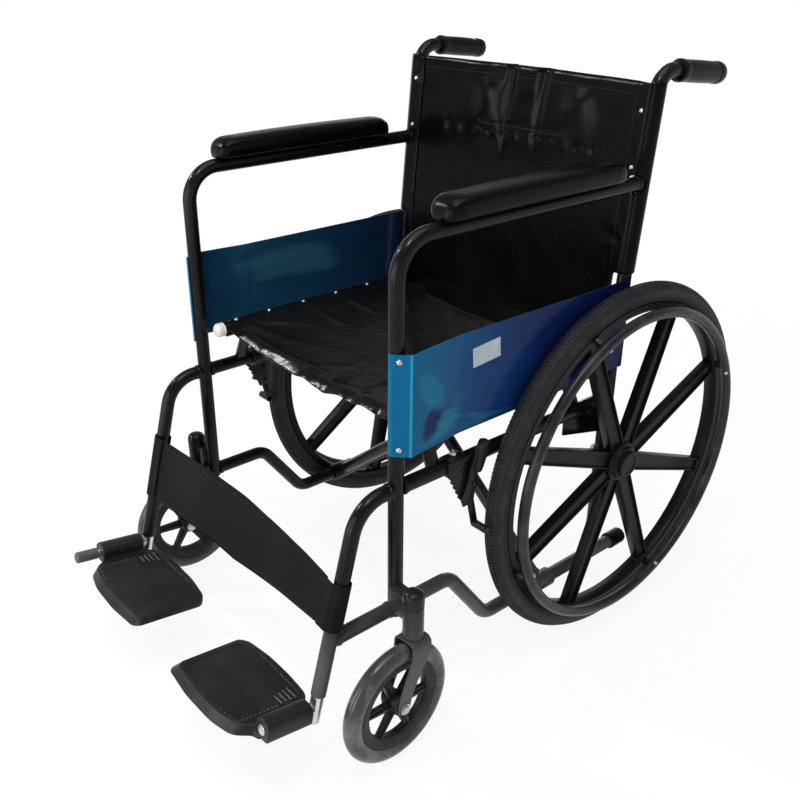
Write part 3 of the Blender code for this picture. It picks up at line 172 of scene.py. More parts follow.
class Value:
    def __init__(self, nodes, socket):
        self.nodes, self.socket = nodes, socket

    def output(self, name):
        """Another output of the same node."""
        return Value(self.nodes, self.socket.node.outputs[name])

    def maths(self, operation, *others, clamp=False):
        settings = {"operation": operation, "use_clamp": clamp}
        return self.nodes.node("ShaderNodeMath", settings, [self, *others])

    def __add__(self, other):
        return self.maths("ADD", other)

    def __mul__(self, other):
        return self.maths("MULTIPLY", other)

    def __sub__(self, other):
        return self.maths("SUBTRACT", other)

    def __rsub__(self, other):
        return (self * -1.0) + other

    def __truediv__(self, other):
        return self.maths("DIVIDE", other)

    def __pow__(self, other):
        return self.maths("POWER", other)

    __radd__ = __add__

    def clamped(self):
        return self.nodes.node("ShaderNodeClamp", {}, [self])

    def between(self, low, high):
        """0 below low, 1 above high, and smooth in between. Low may be the larger one."""
        if low > high:
            return 1.0 - self.between(high, low)
        return self.nodes.node("ShaderNodeMapRange", SMOOTH, [self, low, high, 0.0, 1.0])


class Nodes:
    """A tree whose nodes are added one call at a time."""

    def __init__(self, tree):
        self.tree = tree

    def feed(self, socket, value):
        if isinstance(value, Value):
            self.tree.links.new(value.socket, socket)
        elif value is not None:
            if isinstance(value, (tuple, list, Vector)):
                value = (list(value) + [1.0])[: len(socket.default_value)]
            socket.default_value = value

    def node(self, kind, settings=None, values=(), output=0):
        made = self.tree.nodes.new(kind)
        for key, value in (settings or {}).items():
            if key == "stops":
                ramp = made.color_ramp.elements
                while len(ramp) < len(value):
                    ramp.new(0.5)
                for element, (place, colour) in zip(ramp, value):
                    element.position, element.color = place, (*colour, 1)
            else:
                setattr(made, key, value)
        for key, value in values.items() if isinstance(values, dict) else enumerate(values):
            self.feed(made.inputs[key], value)
        return Value(self, made.outputs[output])

    def parts(self, where):
        split = self.node("ShaderNodeSeparateXYZ", {}, [where])
        return [split.output(k) for k in range(3)]


class Finish(Nodes):
    """A material, with its Principled shader."""

    def __init__(self, name, **constants):
        self.material = bpy.data.materials.new(name)
        self.material.use_nodes = True
        super().__init__(self.material.node_tree)
        self.shader = self.tree.nodes["Principled BSDF"]
        for socket, value in constants.items():
            self.set(socket.replace("_", " ").title().replace("Ior", "IOR"), value)

    def set(self, socket, value):
        self.feed(self.shader.inputs[socket], value)

    def place(self):
        return self.node("ShaderNodeTexCoord", output="Object")

    def moved(self, where, turn=(0, 0, 0), scale=(1, 1, 1)):
        return self.node("ShaderNodeMapping", {}, {0: where, 2: turn, 3: scale})

    def noise(self, where, scale, detail=3.0, rough=0.5, twist=0.0):
        values = {"Vector": where, "Scale": scale, "Detail": detail, "Roughness": rough, "Distortion": twist}
        return self.node("ShaderNodeTexNoise", {}, values)

    def cells(self, where, scale):
        return self.node("ShaderNodeTexVoronoi", {}, {"Vector": where, "Scale": scale})

    def mix(self, share, first, second):
        settings = {"data_type": "RGBA", "clamp_factor": True}
        return self.node("ShaderNodeMix", settings, {0: share, 6: first, 7: second}, output=2)

    def bump(self, height, distance, strength=1.0, under=None):
        values = {"Strength": strength, "Distance": distance, "Height": height, "Normal": under}
        return self.node("ShaderNodeBump", {}, values)


print("shader helpers ready")

# %% [markdown]
# Paint on the frame tubes is a black gloss sprayed over steel. Close to, it has a faint orange peel, dust that
# dulls it in patches, and small scuffs. Low down and towards the near side it is made greyer. A low specular keeps
# the black deep between the reflections of the lamps.

# %% Black paint
LOW_NEAR_GREY = (0.082, 0.081, 0.082)


def black_paint(name, base=0.0042, dull=0.22, specular=0.15):
    finish = Finish(name, specular_ior_level=specular)
    where = finish.place()
    dust = finish.noise(where, 14.0, 4.0)
    scuffs = finish.noise(finish.moved(where, scale=(1, 1, 0.25)), 160.0, 5.0, 0.7).between(0.60, 0.74)
    out, _, up = finish.parts(where)
    # Greyer low down and towards the near side.
    low_near_share = up.between(0.30, 0.13) * out.between(-0.30, 0.26) * (0.45 + dust * 0.9)
    tone = finish.mix(dust.between(0.45, 0.8), [base] * 3, [base * 2.1, base * 2.0, base * 1.9])
    finish.set("Base Color", finish.mix(low_near_share.clamped(), tone, LOW_NEAR_GREY))
    finish.set("Roughness", dull - 0.06 + dust * 0.14 + scuffs * 0.10 + low_near_share * 0.08)
    peel = finish.noise(where, 420.0, 2.0)
    finish.set("Normal", finish.bump(peel, 0.00008, 0.35))
    return finish.material


PAINT = black_paint("black_tube_paint")
IRON = black_paint("black_bracket_paint", base=0.0055, dull=0.32, specular=0.18)
print(PAINT.name, IRON.name)

# %% [markdown]
# The guards are sheet steel under a glossy blue protective film. Its colour carries painted reflections: it is
# painted bright cyan at the front fold, deepening to navy towards the wheel, with long soft pale streaks and pale
# patches that are painted reflections of the room, one dark navy patch, and a painted highlight along the fold.
# The streaks are noise stretched along a slanted direction.

# %% Blue film
# Stops: the distance back from the post, and the colour there; they give the film's blue with painted reflections
# over it. Patches: their distance back, height, half width, half height, lean, strength and colour. The pale
# patches are painted reflections.
OUTSIDE_BLUE_AND_REFLECTION_STOPS = (
    (0.0, (0.002, 0.098, 0.215)), (0.045, (0.004, 0.088, 0.205)), (0.09, (0.006, 0.062, 0.168)),
    (0.16, (0.005, 0.032, 0.125)), (0.27, (0.004, 0.014, 0.082)), (0.46, (0.005, 0.008, 0.048)),
)
INSIDE_BLUE_AND_REFLECTION_STOPS = (
    (0.0, (0.006, 0.035, 0.075)), (0.10, (0.007, 0.045, 0.085)), (0.24, (0.006, 0.034, 0.075)),
    (0.34, (0.006, 0.024, 0.060)), (0.46, (0.004, 0.012, 0.036)),
)
OUTSIDE_DARK_AND_REFLECTION_PATCHES = (
    (0.046, 0.492, 0.020, 0.030, 0.35, 0.9, (0.003, 0.010, 0.070)),
    (0.078, 0.490, 0.028, 0.016, 0.6, 0.55, (0.016, 0.190, 0.300)),
    (0.044, 0.540, 0.022, 0.036, -0.5, 0.55, (0.010, 0.170, 0.290)),
)
INSIDE_REFLECTION_PATCHES = ((0.200, 0.555, 0.110, 0.040, -1.2, 0.5, (0.030, 0.115, 0.160)),)
# Pale colours painted in as reflections of the room.
OUTSIDE_REFLECTION_PALE, INSIDE_REFLECTION_PALE = (0.020, 0.260, 0.400), (0.022, 0.090, 0.140)
# The colour of a painted highlight along the fold.
PAINTED_FOLD_HIGHLIGHT = (0.030, 0.310, 0.480)


def blue_film(name, stops, patches, pale, painted_fold_highlight=None):
    finish = Finish(name, specular_ior_level=0.07)
    where = finish.place()
    _, back, up = finish.parts(where)
    along = back - POST_Y
    slanted = finish.moved(where, turn=(radians(28), 0, 0), scale=(1, 1.2, 9))
    streak = finish.noise(slanted, 5.5, 2.0, 0.45, 0.6)
    broad = finish.noise(where, 9.0, 1.0)
    travel = (along + (streak - 0.5) * 0.10 + (broad - 0.5) * 0.08).clamped()
    # The ramp paints reflections over the film's blue: bright cyan at the front, navy towards the wheel.
    tone = finish.node("ShaderNodeValToRGB", {"stops": stops}, [travel])
    # Pale streaks near the front: painted reflections.
    tone = finish.mix(streak.between(0.56, 0.78) * along.between(0.30, 0.03) * 0.5, tone, pale)
    ragged = (broad - 0.5) * 2.2 + (streak - 0.5) * 1.4
    # Patches: the pale ones are painted reflections, and the first outside one is a dark navy patch.
    for at, rise, wide, high, lean, strength, colour in patches:
        sideways = (along - at - (up - rise) * lean) / wide
        above = (up - rise) / high
        inside = (1.0 - (sideways * sideways + above * above) - ragged).between(0.0, 0.9)
        tone = finish.mix(inside * strength, tone, colour)
    # A painted highlight along the fold.
    if painted_fold_highlight:
        fold_highlight_band = (1.0 - ((along - 0.0050) / 0.0022) ** 2.0).clamped()
        tone = finish.mix(fold_highlight_band * 0.7, tone, painted_fold_highlight)
    finish.set("Base Color", tone)
    finish.set("Metallic", broad * 0.06)
    finish.set("Roughness", 0.11 + broad * 0.10)
    wave = finish.noise(where, 26.0, 2.0, 0.5, 0.4)
    finish.set("Normal", finish.bump(wave, 0.0011, 0.5))
    return finish.material


FILM = blue_film("blue_guard_film", OUTSIDE_BLUE_AND_REFLECTION_STOPS, OUTSIDE_DARK_AND_REFLECTION_PATCHES, OUTSIDE_REFLECTION_PALE, PAINTED_FOLD_HIGHLIGHT)
FILM_INSIDE = blue_film("blue_guard_film_inside", INSIDE_BLUE_AND_REFLECTION_STOPS, INSIDE_REFLECTION_PATCHES, INSIDE_REFLECTION_PALE)
print(FILM.name)

# %% [markdown]
# The slings are glossy vinyl with a fine printed grain. Cells give the grain, and a wider noise gives the small
# dents that make the reflections shiver. The calf strap is the same cloth's matt side.


# %% Vinyl
def vinyl(name, base, rough, specular, grain=0.5, dents=0.0012):
    finish = Finish(name, specular_ior_level=specular)
    where = finish.place()
    pores = finish.cells(where, 900.0)
    dent = finish.noise(where, 36.0, 3.0, 0.55, 0.3)
    wide = finish.noise(where, 8.0, 2.0)
    finish.set("Base Color", finish.mix(wide.between(0.35, 0.75), [base] * 3, [base * 1.9] * 3))
    finish.set("Roughness", rough + wide * 0.10 + pores * 0.05)
    small = finish.bump(pores, 0.00012, grain)
    finish.set("Normal", finish.bump(dent, dents, 0.55, small))
    return finish.material


SEAT_VINYL = vinyl("seat_vinyl", 0.0028, 0.14, 0.17)
BACK_VINYL = vinyl("back_vinyl", 0.0010, 0.15, 0.070)
STRAP_VINYL = vinyl("strap_vinyl_matt", 0.0034, 0.46, 0.07, grain=0.8, dents=0.0005)

stitch = Finish("stitch_thread", roughness=0.7, base_color=(0.0070, 0.0070, 0.0075), specular_ior_level=0.25)
fibre = stitch.noise(stitch.place(), 1800.0, 2.0)
stitch.set("Roughness", 0.55 + fibre * 0.2)
THREAD = stitch.material
print(SEAT_VINYL.name, STRAP_VINYL.name, THREAD.name)

# %% [markdown]
# Rubber and moulded plastic. The drive tyres are dark grey and dusty, the caster tyres a cloudy grey, with painted
# light as paler patches on the near one and a darker copy as painted shade on the far one, and the wheels,
# footplates and pads are black with a sparked or pebbled surface.


# %% Rubber and plastic
def moulded(name, base, rough, specular, grain_scale, grain, worn=1.6, patches=18.0, coat=0.0):
    finish = Finish(name, specular_ior_level=specular, coat_weight=coat, coat_roughness=0.2)
    where = finish.place()
    patch = finish.noise(where, patches, 4.0, 0.6)
    grains = finish.noise(where, grain_scale, 3.0, 0.6)
    # Paler random patches: wear on most mouldings, painted light on the near caster tyre, and partly painted
    # reflections on the handrim.
    finish.set("Base Color", finish.mix(patch.between(0.42, 0.72), base, [c * worn for c in base]))
    finish.set("Roughness", rough - 0.05 + patch * 0.12)
    finish.set("Normal", finish.bump(grains, 0.00025, grain))
    return finish.material


TYRE = moulded("drive_tyre_rubber", (0.0130, 0.0135, 0.0155), 0.62, 0.24, 700.0, 0.7, 1.9, 30.0)
MAG = moulded("wheel_plastic", (0.0042, 0.0042, 0.0046), 0.38, 0.11, 900.0, 0.35, 1.7)
# Its pale blotches are partly scuffs and partly painted reflections.
RIM = moulded("handrim_plastic", (0.0095, 0.0100, 0.0110), 0.34, 0.26, 500.0, 0.3, 3.0, 24.0)
# Two copies of one caster rubber: the near one with painted light as strong pale patches, the far one with painted
# shade.
NEAR_CASTER_RUBBER_LIT = moulded("caster_rubber_cloudy", (0.030, 0.031, 0.033), 0.26, 0.34, 60.0, 0.4, 3.6, 20.0, 0.12)
FAR_CASTER_RUBBER_SHADED = moulded("caster_rubber_dark", (0.030, 0.031, 0.033), 0.34, 0.40, 60.0, 0.3, 2.0, 26.0, 0.1)
CASTER_WHEEL = moulded("caster_wheel_plastic", (0.0120, 0.0118, 0.0130), 0.40, 0.16, 900.0, 0.35, 2.2)
FOOT = moulded("footplate_plastic", (0.0088, 0.0095, 0.0108), 0.38, 0.26, 1100.0, 0.6, 1.5)
# A paler plastic for the dots and ribs: a painted highlight for their glints.
FOOT_PAINTED_GLINT = moulded("footplate_worn_plastic", (0.036, 0.037, 0.040), 0.30, 0.42, 600.0, 0.4, 1.6)
FOAM = moulded("arm_pad_foam", (0.0018, 0.0018, 0.0018), 0.24, 0.080, 520.0, 0.7, 1.7)
GRIP = moulded("grip_vinyl", (0.0036, 0.0030, 0.0034), 0.30, 0.13, 480.0, 0.7, 1.7)
GREY_PLUG = moulded("grey_plug", (0.060, 0.060, 0.050), 0.50, 0.3, 300.0, 0.3, 1.5)
WHITE = moulded("white_plug_plastic", (0.62, 0.62, 0.60), 0.42, 0.4, 200.0, 0.15, 1.2)
STICKER = moulded("blank_sticker", (0.40, 0.45, 0.50), 0.45, 0.3, 300.0, 0.1, 1.15, 60.0)
print(TYRE.name, MAG.name, FOAM.name)

# %% [markdown]
# Bright metal: the plated footrest tubes, and small zinc plated screws and nuts. Both are metallic with fine
# scratches in the roughness.


# %% Plated metal
def plated(name, colour, rough):
    finish = Finish(name, metallic=1.0)
    where = finish.place()
    scratch = finish.noise(finish.moved(where, scale=(1, 1, 0.08)), 900.0, 3.0)
    cloud = finish.noise(where, 60.0, 3.0)
    finish.set("Base Color", finish.mix(cloud, colour, [c * 0.72 for c in colour]))
    finish.set("Roughness", rough + scratch * 0.12 + cloud * 0.06)
    return finish.material


CHROME = plated("plated_tube", (0.74, 0.74, 0.72), 0.16)
ZINC = plated("zinc_screw", (0.58, 0.58, 0.57), 0.24)
print(CHROME.name, ZINC.name)

# %% [markdown]
# Shapes are added to one mesh at a time. A round tube is swept along a path whose corners are arcs, a turned
# piece is a profile spun about an axis, and a plate is an outline with thickness and eased edges.

# %% Mesh helpers
TUBE_SIDES = 28


def rounded(corners, *radii):
    """A path through its corners, with an arc at each inner one."""
    path = [corners[0]]
    for before, corner, after, radius in zip(corners, corners[1:], corners[2:], radii):
        into, out = (corner - before).normalized(), (after - corner).normalized()
        turn = into.angle(out)
        centre = corner + (out - into).normalized() * radius / cos(turn / 2)
        start = corner - into * radius * tan(turn / 2) - centre
        count = max(4, ceil(turn / radians(5)))
        for k in range(count + 1):
            path.append(centre + Matrix.Rotation(turn * k / count, 3, into.cross(out)) @ start)
    return path + [corners[-1]]


def skin(bm, rings, loop=False, caps=True):
    """Faces from each ring of points to the next, with a cap at both ends or a way back to the first ring."""
    rows = [[bm.verts.new(point) for point in ring] for ring in rings]
    pairs = list(zip(rows, rows[1:] + rows[:1])) if loop else list(zip(rows, rows[1:]))
    faces = []
    for first, second in pairs:
        for k in range(len(first)):
            n = (k + 1) % len(first)
            faces.append(bm.faces.new((first[k], first[n], second[n], second[k])))
    if not loop and caps:
        faces += [bm.faces.new(rows[0]), bm.faces.new(rows[-1])]
    bmesh.ops.recalc_face_normals(bm, faces=faces)
    return faces


def sweep(bm, path, radius, flat=X, sides=TUBE_SIDES):
    """A round bar along a path that is bent in a plane across flat."""
    rings = []
    for k, point in enumerate(path):
        into = (point - path[k - 1]).normalized() if k else (path[1] - point).normalized()
        out = (path[k + 1] - point).normalized() if k + 1 < len(path) else into
        along = (into + out).normalized()
        aside = flat.cross(along) / into.dot(along)
        turns = [tau * n / sides for n in range(sides)]
        rings.append([point + radius * (cos(t) * flat + sin(t) * aside) for t in turns])
    return skin(bm, rings)


def spin(bm, profile, centre, axis, steps=48, loop=False):
    """A profile of (radius, distance along the axis) turned about it."""
    axis = axis.normalized()
    start = Y if abs(axis.x) > 0.9 else X
    start = (start - axis * axis.dot(start)).normalized()
    side = axis.cross(start)
    rays = [cos(tau * n / steps) * start + sin(tau * n / steps) * side for n in range(steps)]
    rings = [[centre + axis * along + ray * radius for ray in rays] for radius, along in profile]
    return skin(bm, rings, loop)


def rod(bm, radius, start, end, steps=24, ease=0.0006):
    """A straight round bar with eased ends."""
    long = (end - start).length
    ease = min(ease, radius * 0.3, long * 0.3)
    profile = [(radius - ease, 0), (radius, ease), (radius, long - ease), (radius - ease, long)]
    return spin(bm, profile, start, end - start, steps)


def slab(bm, outline, origin, across, up, through, ease=0.0007, segments=2):
    """An outline drawn across and up from the origin, as thick as through, with eased edges."""
    part = bmesh.new()
    low = [origin + across * a + up * b for a, b in outline]
    skin(part, [low, [point + through for point in low]])
    bmesh.ops.bevel(
        part, geom=part.edges[:], offset=ease, segments=segments, profile=0.5, affect="EDGES", clamp_overlap=True
    )
    bmesh.ops.recalc_face_normals(part, faces=part.faces)
    held = bpy.data.meshes.new("held")
    part.to_mesh(held)
    part.free()
    bm.from_mesh(held)
    bpy.data.meshes.remove(held)


def hexagon_bolt(bm, start, axis, across_flats, long):
    """A nut or bolt head that stands on start and looks along the axis, with the bolt's end in it."""
    corner = across_flats / 2 / cos(pi / 6)
    spin(bm, [(corner, 0), (corner, long * 0.8), (corner * 0.86, long)], start, axis, 6)
    end = [(corner * 0.5, long * 0.9), (corner * 0.5, long * 1.25), (corner * 0.3, long * 1.45)]
    spin(bm, end, start, axis, 16)


def collar(bm, inner, outer, long, start, axis):
    """A plain sleeve round a tube."""
    profile = [(inner, 0), (outer - 0.0004, 0), (outer, 0.0006), (outer, long - 0.0006), (outer - 0.0004, long)]
    spin(bm, profile + [(inner, long)], start, axis, 40, loop=True)


def both_ways(profile):
    """A profile followed by its mirror image."""
    return profile + [(a, -b) for a, b in reversed(profile)]


def bulged(share, power):
    """A share from -1 to 1 raised to a power, with its sign kept. It makes a circle squarer."""
    return abs(share) ** power * (1 if share > 0 else -1)


def meshed(name, bm):
    mesh = bpy.data.meshes.new(name)
    bm.to_mesh(mesh)
    bm.free()
    return mesh


def shaded(piece, angle=40):
    piece.data.shade_smooth()
    piece.data.set_sharp_from_angle(angle=radians(angle))
    return piece


def settled(name, bm, material, body, nodes=(), slot=None, place=None, smooth=40, more=()):
    """Makes the finished piece: at the origin, riding on its body, standing for the solids that it replaces."""
    mesh = meshed(name, bm)
    if place is not None:
        mesh.transform(place)
    for finish in (material, *more):
        mesh.materials.append(finish)
    piece = shaded(placed(name, mesh), smooth)
    return dress(piece, body, nodes, slot) if body else piece


def dress(piece, body, nodes=(), slot=None):
    """Ties a piece to its body and hides the solids that it replaces. It looks up the material's name in the
    record, but keeps it nowhere.
    """
    if body:
        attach(piece, body)
    if nodes:
        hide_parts(*nodes)
        slot = slot or next(s["material_slot"] for s in frame["record"]["subparts"] if s["node"] == nodes[0])
    return piece


def joined_into(piece, others):
    """Adds the meshes of other objects to a piece, and removes them."""
    bm = bmesh.new()
    bm.from_mesh(piece.data)
    for other in others:
        bm.from_mesh(other.data)
        bpy.data.objects.remove(other)
    bm.to_mesh(piece.data)
    bm.free()
    return shaded(piece)


def softened(outline, radius=0.012, count=4):
    """An outline with each corner cut to an arc of about the radius."""
    soft = []
    n = len(outline)
    for k in range(n):
        before, here, after = (Vector(outline[(k + d) % n]) for d in (-1, 0, 1))
        reach = min(radius, (before - here).length * 0.45, (after - here).length * 0.45)
        start, end = here + (before - here).normalized() * reach, here + (after - here).normalized() * reach
        for i in range(count + 1):
            t = i / count
            soft.append(tuple((1 - t) ** 2 * start + 2 * t * (1 - t) * here + t * t * end))
    return soft


print("mesh helpers ready")

# %% [markdown]
# Whatever repeats is made once and copied by Geometry Nodes. One tree sets copies round an axis, as spokes are
# set round a hub. The other sets copies of a small stamp, such as a screw head or a stitch, on the points of a
# mesh. Each point says which way its stamp faces and runs.


# %% Geometry Nodes helpers
def group(name, **inputs):
    """A tree of geometry nodes, and a function that gives the value of each of its inputs."""
    nodes = Nodes(bpy.data.node_groups.new(name, "GeometryNodeTree"))
    sockets = nodes.tree.interface
    for label, kind in {"Geometry": "Geometry", **inputs}.items():
        sockets.new_socket(label, in_out="INPUT", socket_type=f"NodeSocket{kind}")
    sockets.new_socket("Geometry", in_out="OUTPUT", socket_type="NodeSocketGeometry")
    return nodes, nodes.node("NodeGroupInput").output


def copied(nodes, **values):
    """Copies of an instance on points, made real."""
    return nodes.node("GeometryNodeRealizeInstances", {}, [nodes.node("GeometryNodeInstanceOnPoints", {}, values)])


def painted(nodes, geometry, material):
    """Ends a tree: what it grew, in one material."""
    values = {"Geometry": geometry, "Material": material}
    leave = nodes.tree.nodes.new("NodeGroupOutput")
    nodes.feed(leave.inputs[0], nodes.node("GeometryNodeSetMaterial", {}, values))
    return nodes.tree


def around_tree():
    nodes, given = group("copies_round_an_axis", Count="Int", Centre="Vector", Turn="Vector", Material="Material")
    scaled = {"operation": "SCALE"}
    values = {"Count": given("Count"), "Offset": (0, 0, 0)}
    points = nodes.node("GeometryNodeMeshLine", {"mode": "OFFSET"}, values)
    home = nodes.node("ShaderNodeVectorMath", scaled, {0: given("Centre"), "Scale": -1.0})
    index = nodes.node("GeometryNodeInputIndex")
    turn = nodes.node("ShaderNodeVectorMath", scaled, {0: given("Turn"), "Scale": index})
    centred = nodes.node("GeometryNodeTransform", {}, {"Geometry": given("Geometry"), "Translation": home})
    copies = copied(nodes, Points=points, Instance=centred, Rotation=turn)
    back = nodes.node("GeometryNodeTransform", {}, {"Geometry": copies, "Translation": given("Centre")})
    return painted(nodes, back, given("Material"))


def stamp_tree():
    nodes, given = group("stamps_on_points", Stamp="Object", Size="Float", Material="Material")
    facing, run = (
        nodes.node("GeometryNodeInputNamedAttribute", {"data_type": "FLOAT_VECTOR"}, {"Name": name})
        for name in ("facing", "run")
    )
    align = "FunctionNodeAlignRotationToVector"
    up = nodes.node(align, {"axis": "Z"}, {"Vector": facing})
    line = nodes.node(align, {"axis": "X", "pivot_axis": "Z"}, {"Rotation": up, "Vector": run})
    stamp = nodes.node("GeometryNodeObjectInfo", {}, {"Object": given("Stamp")}, "Geometry")
    copies = copied(nodes, Points=given("Geometry"), Instance=stamp, Rotation=line, Scale=given("Size"))
    return painted(nodes, copies, given("Material"))


AROUND, STAMPS = around_tree(), stamp_tree()


def evaluated(piece):
    """Applies every modifier on the piece."""
    depsgraph = bpy.context.evaluated_depsgraph_get()
    mesh = bpy.data.meshes.new_from_object(piece.evaluated_get(depsgraph))
    piece.modifiers.clear()
    old, piece.data = piece.data, mesh
    bpy.data.meshes.remove(old)
    mesh.name = piece.name
    return piece


def grown(piece, tree, **inputs):
    """Runs a tree on a piece and keeps the result as its plain mesh."""
    change = piece.modifiers.new("grow", "NODES")
    change.node_group = tree
    for item in tree.interface.items_tree:
        if item.in_out == "INPUT" and item.name in inputs:
            change[item.identifier] = inputs[item.name]
    return evaluated(piece)


def about(piece, count, centre, material):
    """So many copies of a piece, set round the X axis through a centre."""
    turn = (tau / count, 0.0, 0.0)
    return grown(piece, AROUND, Count=count, Centre=tuple(centre), Turn=turn, Material=material)


def stamped(name, spots, stamp, material, body, size=1.0, slot="steel_bolt", place=None):
    """Copies of a stamp on spots of (place, facing, run)."""
    mesh = bpy.data.meshes.new(name)
    mesh.from_pydata([spot[0] for spot in spots], [], [])
    for label, index in (("facing", 1), ("run", 2)):
        values = mesh.attributes.new(label, "FLOAT_VECTOR", "POINT")
        values.data.foreach_set("vector", [c for spot in spots for c in spot[index]])
    piece = shaded(grown(placed(name, mesh), STAMPS, Stamp=stamp, Size=size, Material=material))
    if place is not None:
        piece.data.transform(place)
    return dress(piece, body, (), slot) if body else piece


print("trees", AROUND.name, STAMPS.name)

# %% [markdown]
# Stamps: a domed screw head with a crossed slot, a stitch, and a low round dot. Each lies at the origin, facing
# up Z and running along X. They are removed once everything that uses them is made.


# %% Stamps
def screw_stamp(radius):
    bm = bmesh.new()
    dome = [(radius, -0.0004), (radius, radius * 0.12), (radius * 0.82, radius * 0.36)]
    dome += [(radius * 0.5, radius * 0.52), (radius * 0.2, radius * 0.56)]
    spin(bm, dome, Vector(), Z, 14)
    for turn in (0, pi / 2):
        along, aside = Vector((cos(turn), sin(turn), 0)), Vector((-sin(turn), cos(turn), 0))
        corners = [(-1, -1), (1, -1), (1, 1), (-1, 1)]
        ring = [along * radius * 0.42 * a + aside * radius * 0.09 * b for a, b in corners]
        skin(bm, [[p + Z * radius * rise for p in ring] for rise in (0.50, 0.585)])
    return placed("stamp_screw", meshed("stamp_screw", bm))


def stitch_stamp(long, thick):
    bm = bmesh.new()
    path = [Vector((long * (k / 4 - 0.5), 0, thick * 0.55 * sin(pi * k / 4) - thick * 0.15)) for k in range(5)]
    sweep(bm, path, thick / 2, Y, 6)
    return placed("stamp_stitch", meshed("stamp_stitch", bm))


def dot_stamp(radius, high):
    bm = bmesh.new()
    spin(bm, [(radius, -0.0003), (radius * 0.9, high * 0.7), (radius * 0.5, high)], Vector(), Z, 10)
    return placed("stamp_dot", meshed("stamp_dot", bm))


SCREW, STITCH, DOT = screw_stamp(0.0042), stitch_stamp(0.0042, 0.0011), dot_stamp(0.0013, 0.0007)
print("stamps", SCREW.name, STITCH.name, DOT.name)

# %% [markdown]
# The side frames are 22 mm steel tube, bent and welded. A weld shows as a small fillet of metal, so each joint
# gets a soft bead round the tube that ends there. The front stay ends in a saddle, because the plated tube of the
# footrest slides past it inside the hanger.

# %% Side frame tubes
BURIED, WELD, SADDLE_R = TUBE_R * 0.8, TUBE_R + 0.0015, 0.0112
LEANING = Vector((0, cos(HANGER_SLOPE), -sin(HANGER_SLOPE)))


def bead(bm, centre, axis, radius=TUBE_R, wide=0.0028):
    """A ring of weld round a tube."""
    turns = [tau * k / 8 for k in range(8)]
    profile = [(radius + wide * 0.55 * cos(t), wide * sin(t)) for t in turns]
    spin(bm, profile, centre, axis, 36, loop=True)


def welded(side, part, path, *beads):
    """A bent tube of the side frame with its weld beads, which are pairs of a place and an axis."""
    bm = bmesh.new()
    sweep(bm, path, TUBE_R)
    for place, axis in beads:
        bead(bm, place, axis)
    settled(f"{side.name}_{part}_round", bm, PAINT, side.body, [f"{side.name}_{part}"])


def front_stay(side):
    bm = bmesh.new()
    post_end, hanger_end = [], []
    for turn in [tau * k / TUBE_SIDES for k in range(TUBE_SIDES)]:
        out, up = TUBE_R * cos(turn), FRONT_RAIL_Z + TUBE_R * sin(turn)
        saddle = sqrt(SADDLE_R**2 - out**2) / cos(HANGER_SLOPE)
        post_end.append(side.at(out, -BURIED, up))
        hanger_end.append(side.at(out, hanger_back(up) + saddle, up))
    skin(bm, [post_end, hanger_end], caps=False)
    spots = list(bm.verts)
    bm.faces.new(spots[:TUBE_SIDES])
    hollow = spots[TUBE_SIDES:] + spots[TUBE_SIDES : TUBE_SIDES + 1]
    for k in range(TUBE_SIDES // 2):  # strips follow the plated tube, where one flat cap would cut through it
        bm.faces.new(list(dict.fromkeys((hollow[k], hollow[k + 1], hollow[-2 - k], hollow[-1 - k]))))
    bmesh.ops.recalc_face_normals(bm, faces=list(bm.faces))
    bead(bm, side.at(0, -WELD, FRONT_RAIL_Z), Y)
    bead(bm, side.at(0, hanger_back(FRONT_RAIL_Z) + TUBE_R + 0.002, FRONT_RAIL_Z), LEANING)
    settled(f"{side.name}_front_stay_round", bm, PAINT, side.body, [f"{side.name}_front_stay"])


for side in SIDES:
    top, arm_end = cane_back(CANE_TOP_Z), cane_back(ARM_Z)
    corners = side.path((0, FRONT_RAIL_Z - TUBE_R), (0, ARM_Z), (arm_end - TUBE_R * 0.9, ARM_Z))
    welded(side, "arm_tube", rounded(corners, ARM_BEND), (side.at(0, arm_end - WELD, ARM_Z), Y))
    corners = side.path(
        (POST_TO_CANE, REAR_RAIL_Z + TUBE_R * 0.7), (POST_TO_CANE, CANE_KINK_Z), (top, CANE_TOP_Z),
        (top + HANDLE_LENGTH * cos(HANDLE_DROOP), CANE_TOP_Z - HANDLE_LENGTH * sin(HANDLE_DROOP)),
    )
    welded(side, "back_cane", rounded(corners, 0.3, CANE_BEND), (side.at(0, POST_TO_CANE, REAR_RAIL_Z + WELD), Z))
    corners = side.path(
        (-BURIED, SIDE_RAIL_Z), (-HANGER_CORNER, SIDE_RAIL_Z), (hanger_back(HANGER_END_Z), HANGER_END_Z)
    )
    welded(side, "hanger_tube", rounded(corners, HANGER_BEND), (side.at(0, -WELD, SIDE_RAIL_Z), Y))
    corners = side.path(
        (BURIED, FRONT_RAIL_Z), (STEP_START, FRONT_RAIL_Z), (STEP_END, REAR_RAIL_Z),
        (POST_TO_CANE + TIP_REACH, REAR_RAIL_Z),
    )
    welded(side, "lower_rail", rounded(corners, STEP_BEND, STEP_BEND), (side.at(0, WELD, FRONT_RAIL_Z), Y))
    front_stay(side)

# %% [markdown]
# The side rail carries a gusset plate ahead of the cane, and two bent saddles that the seat rail drops into when
# the chair is open.

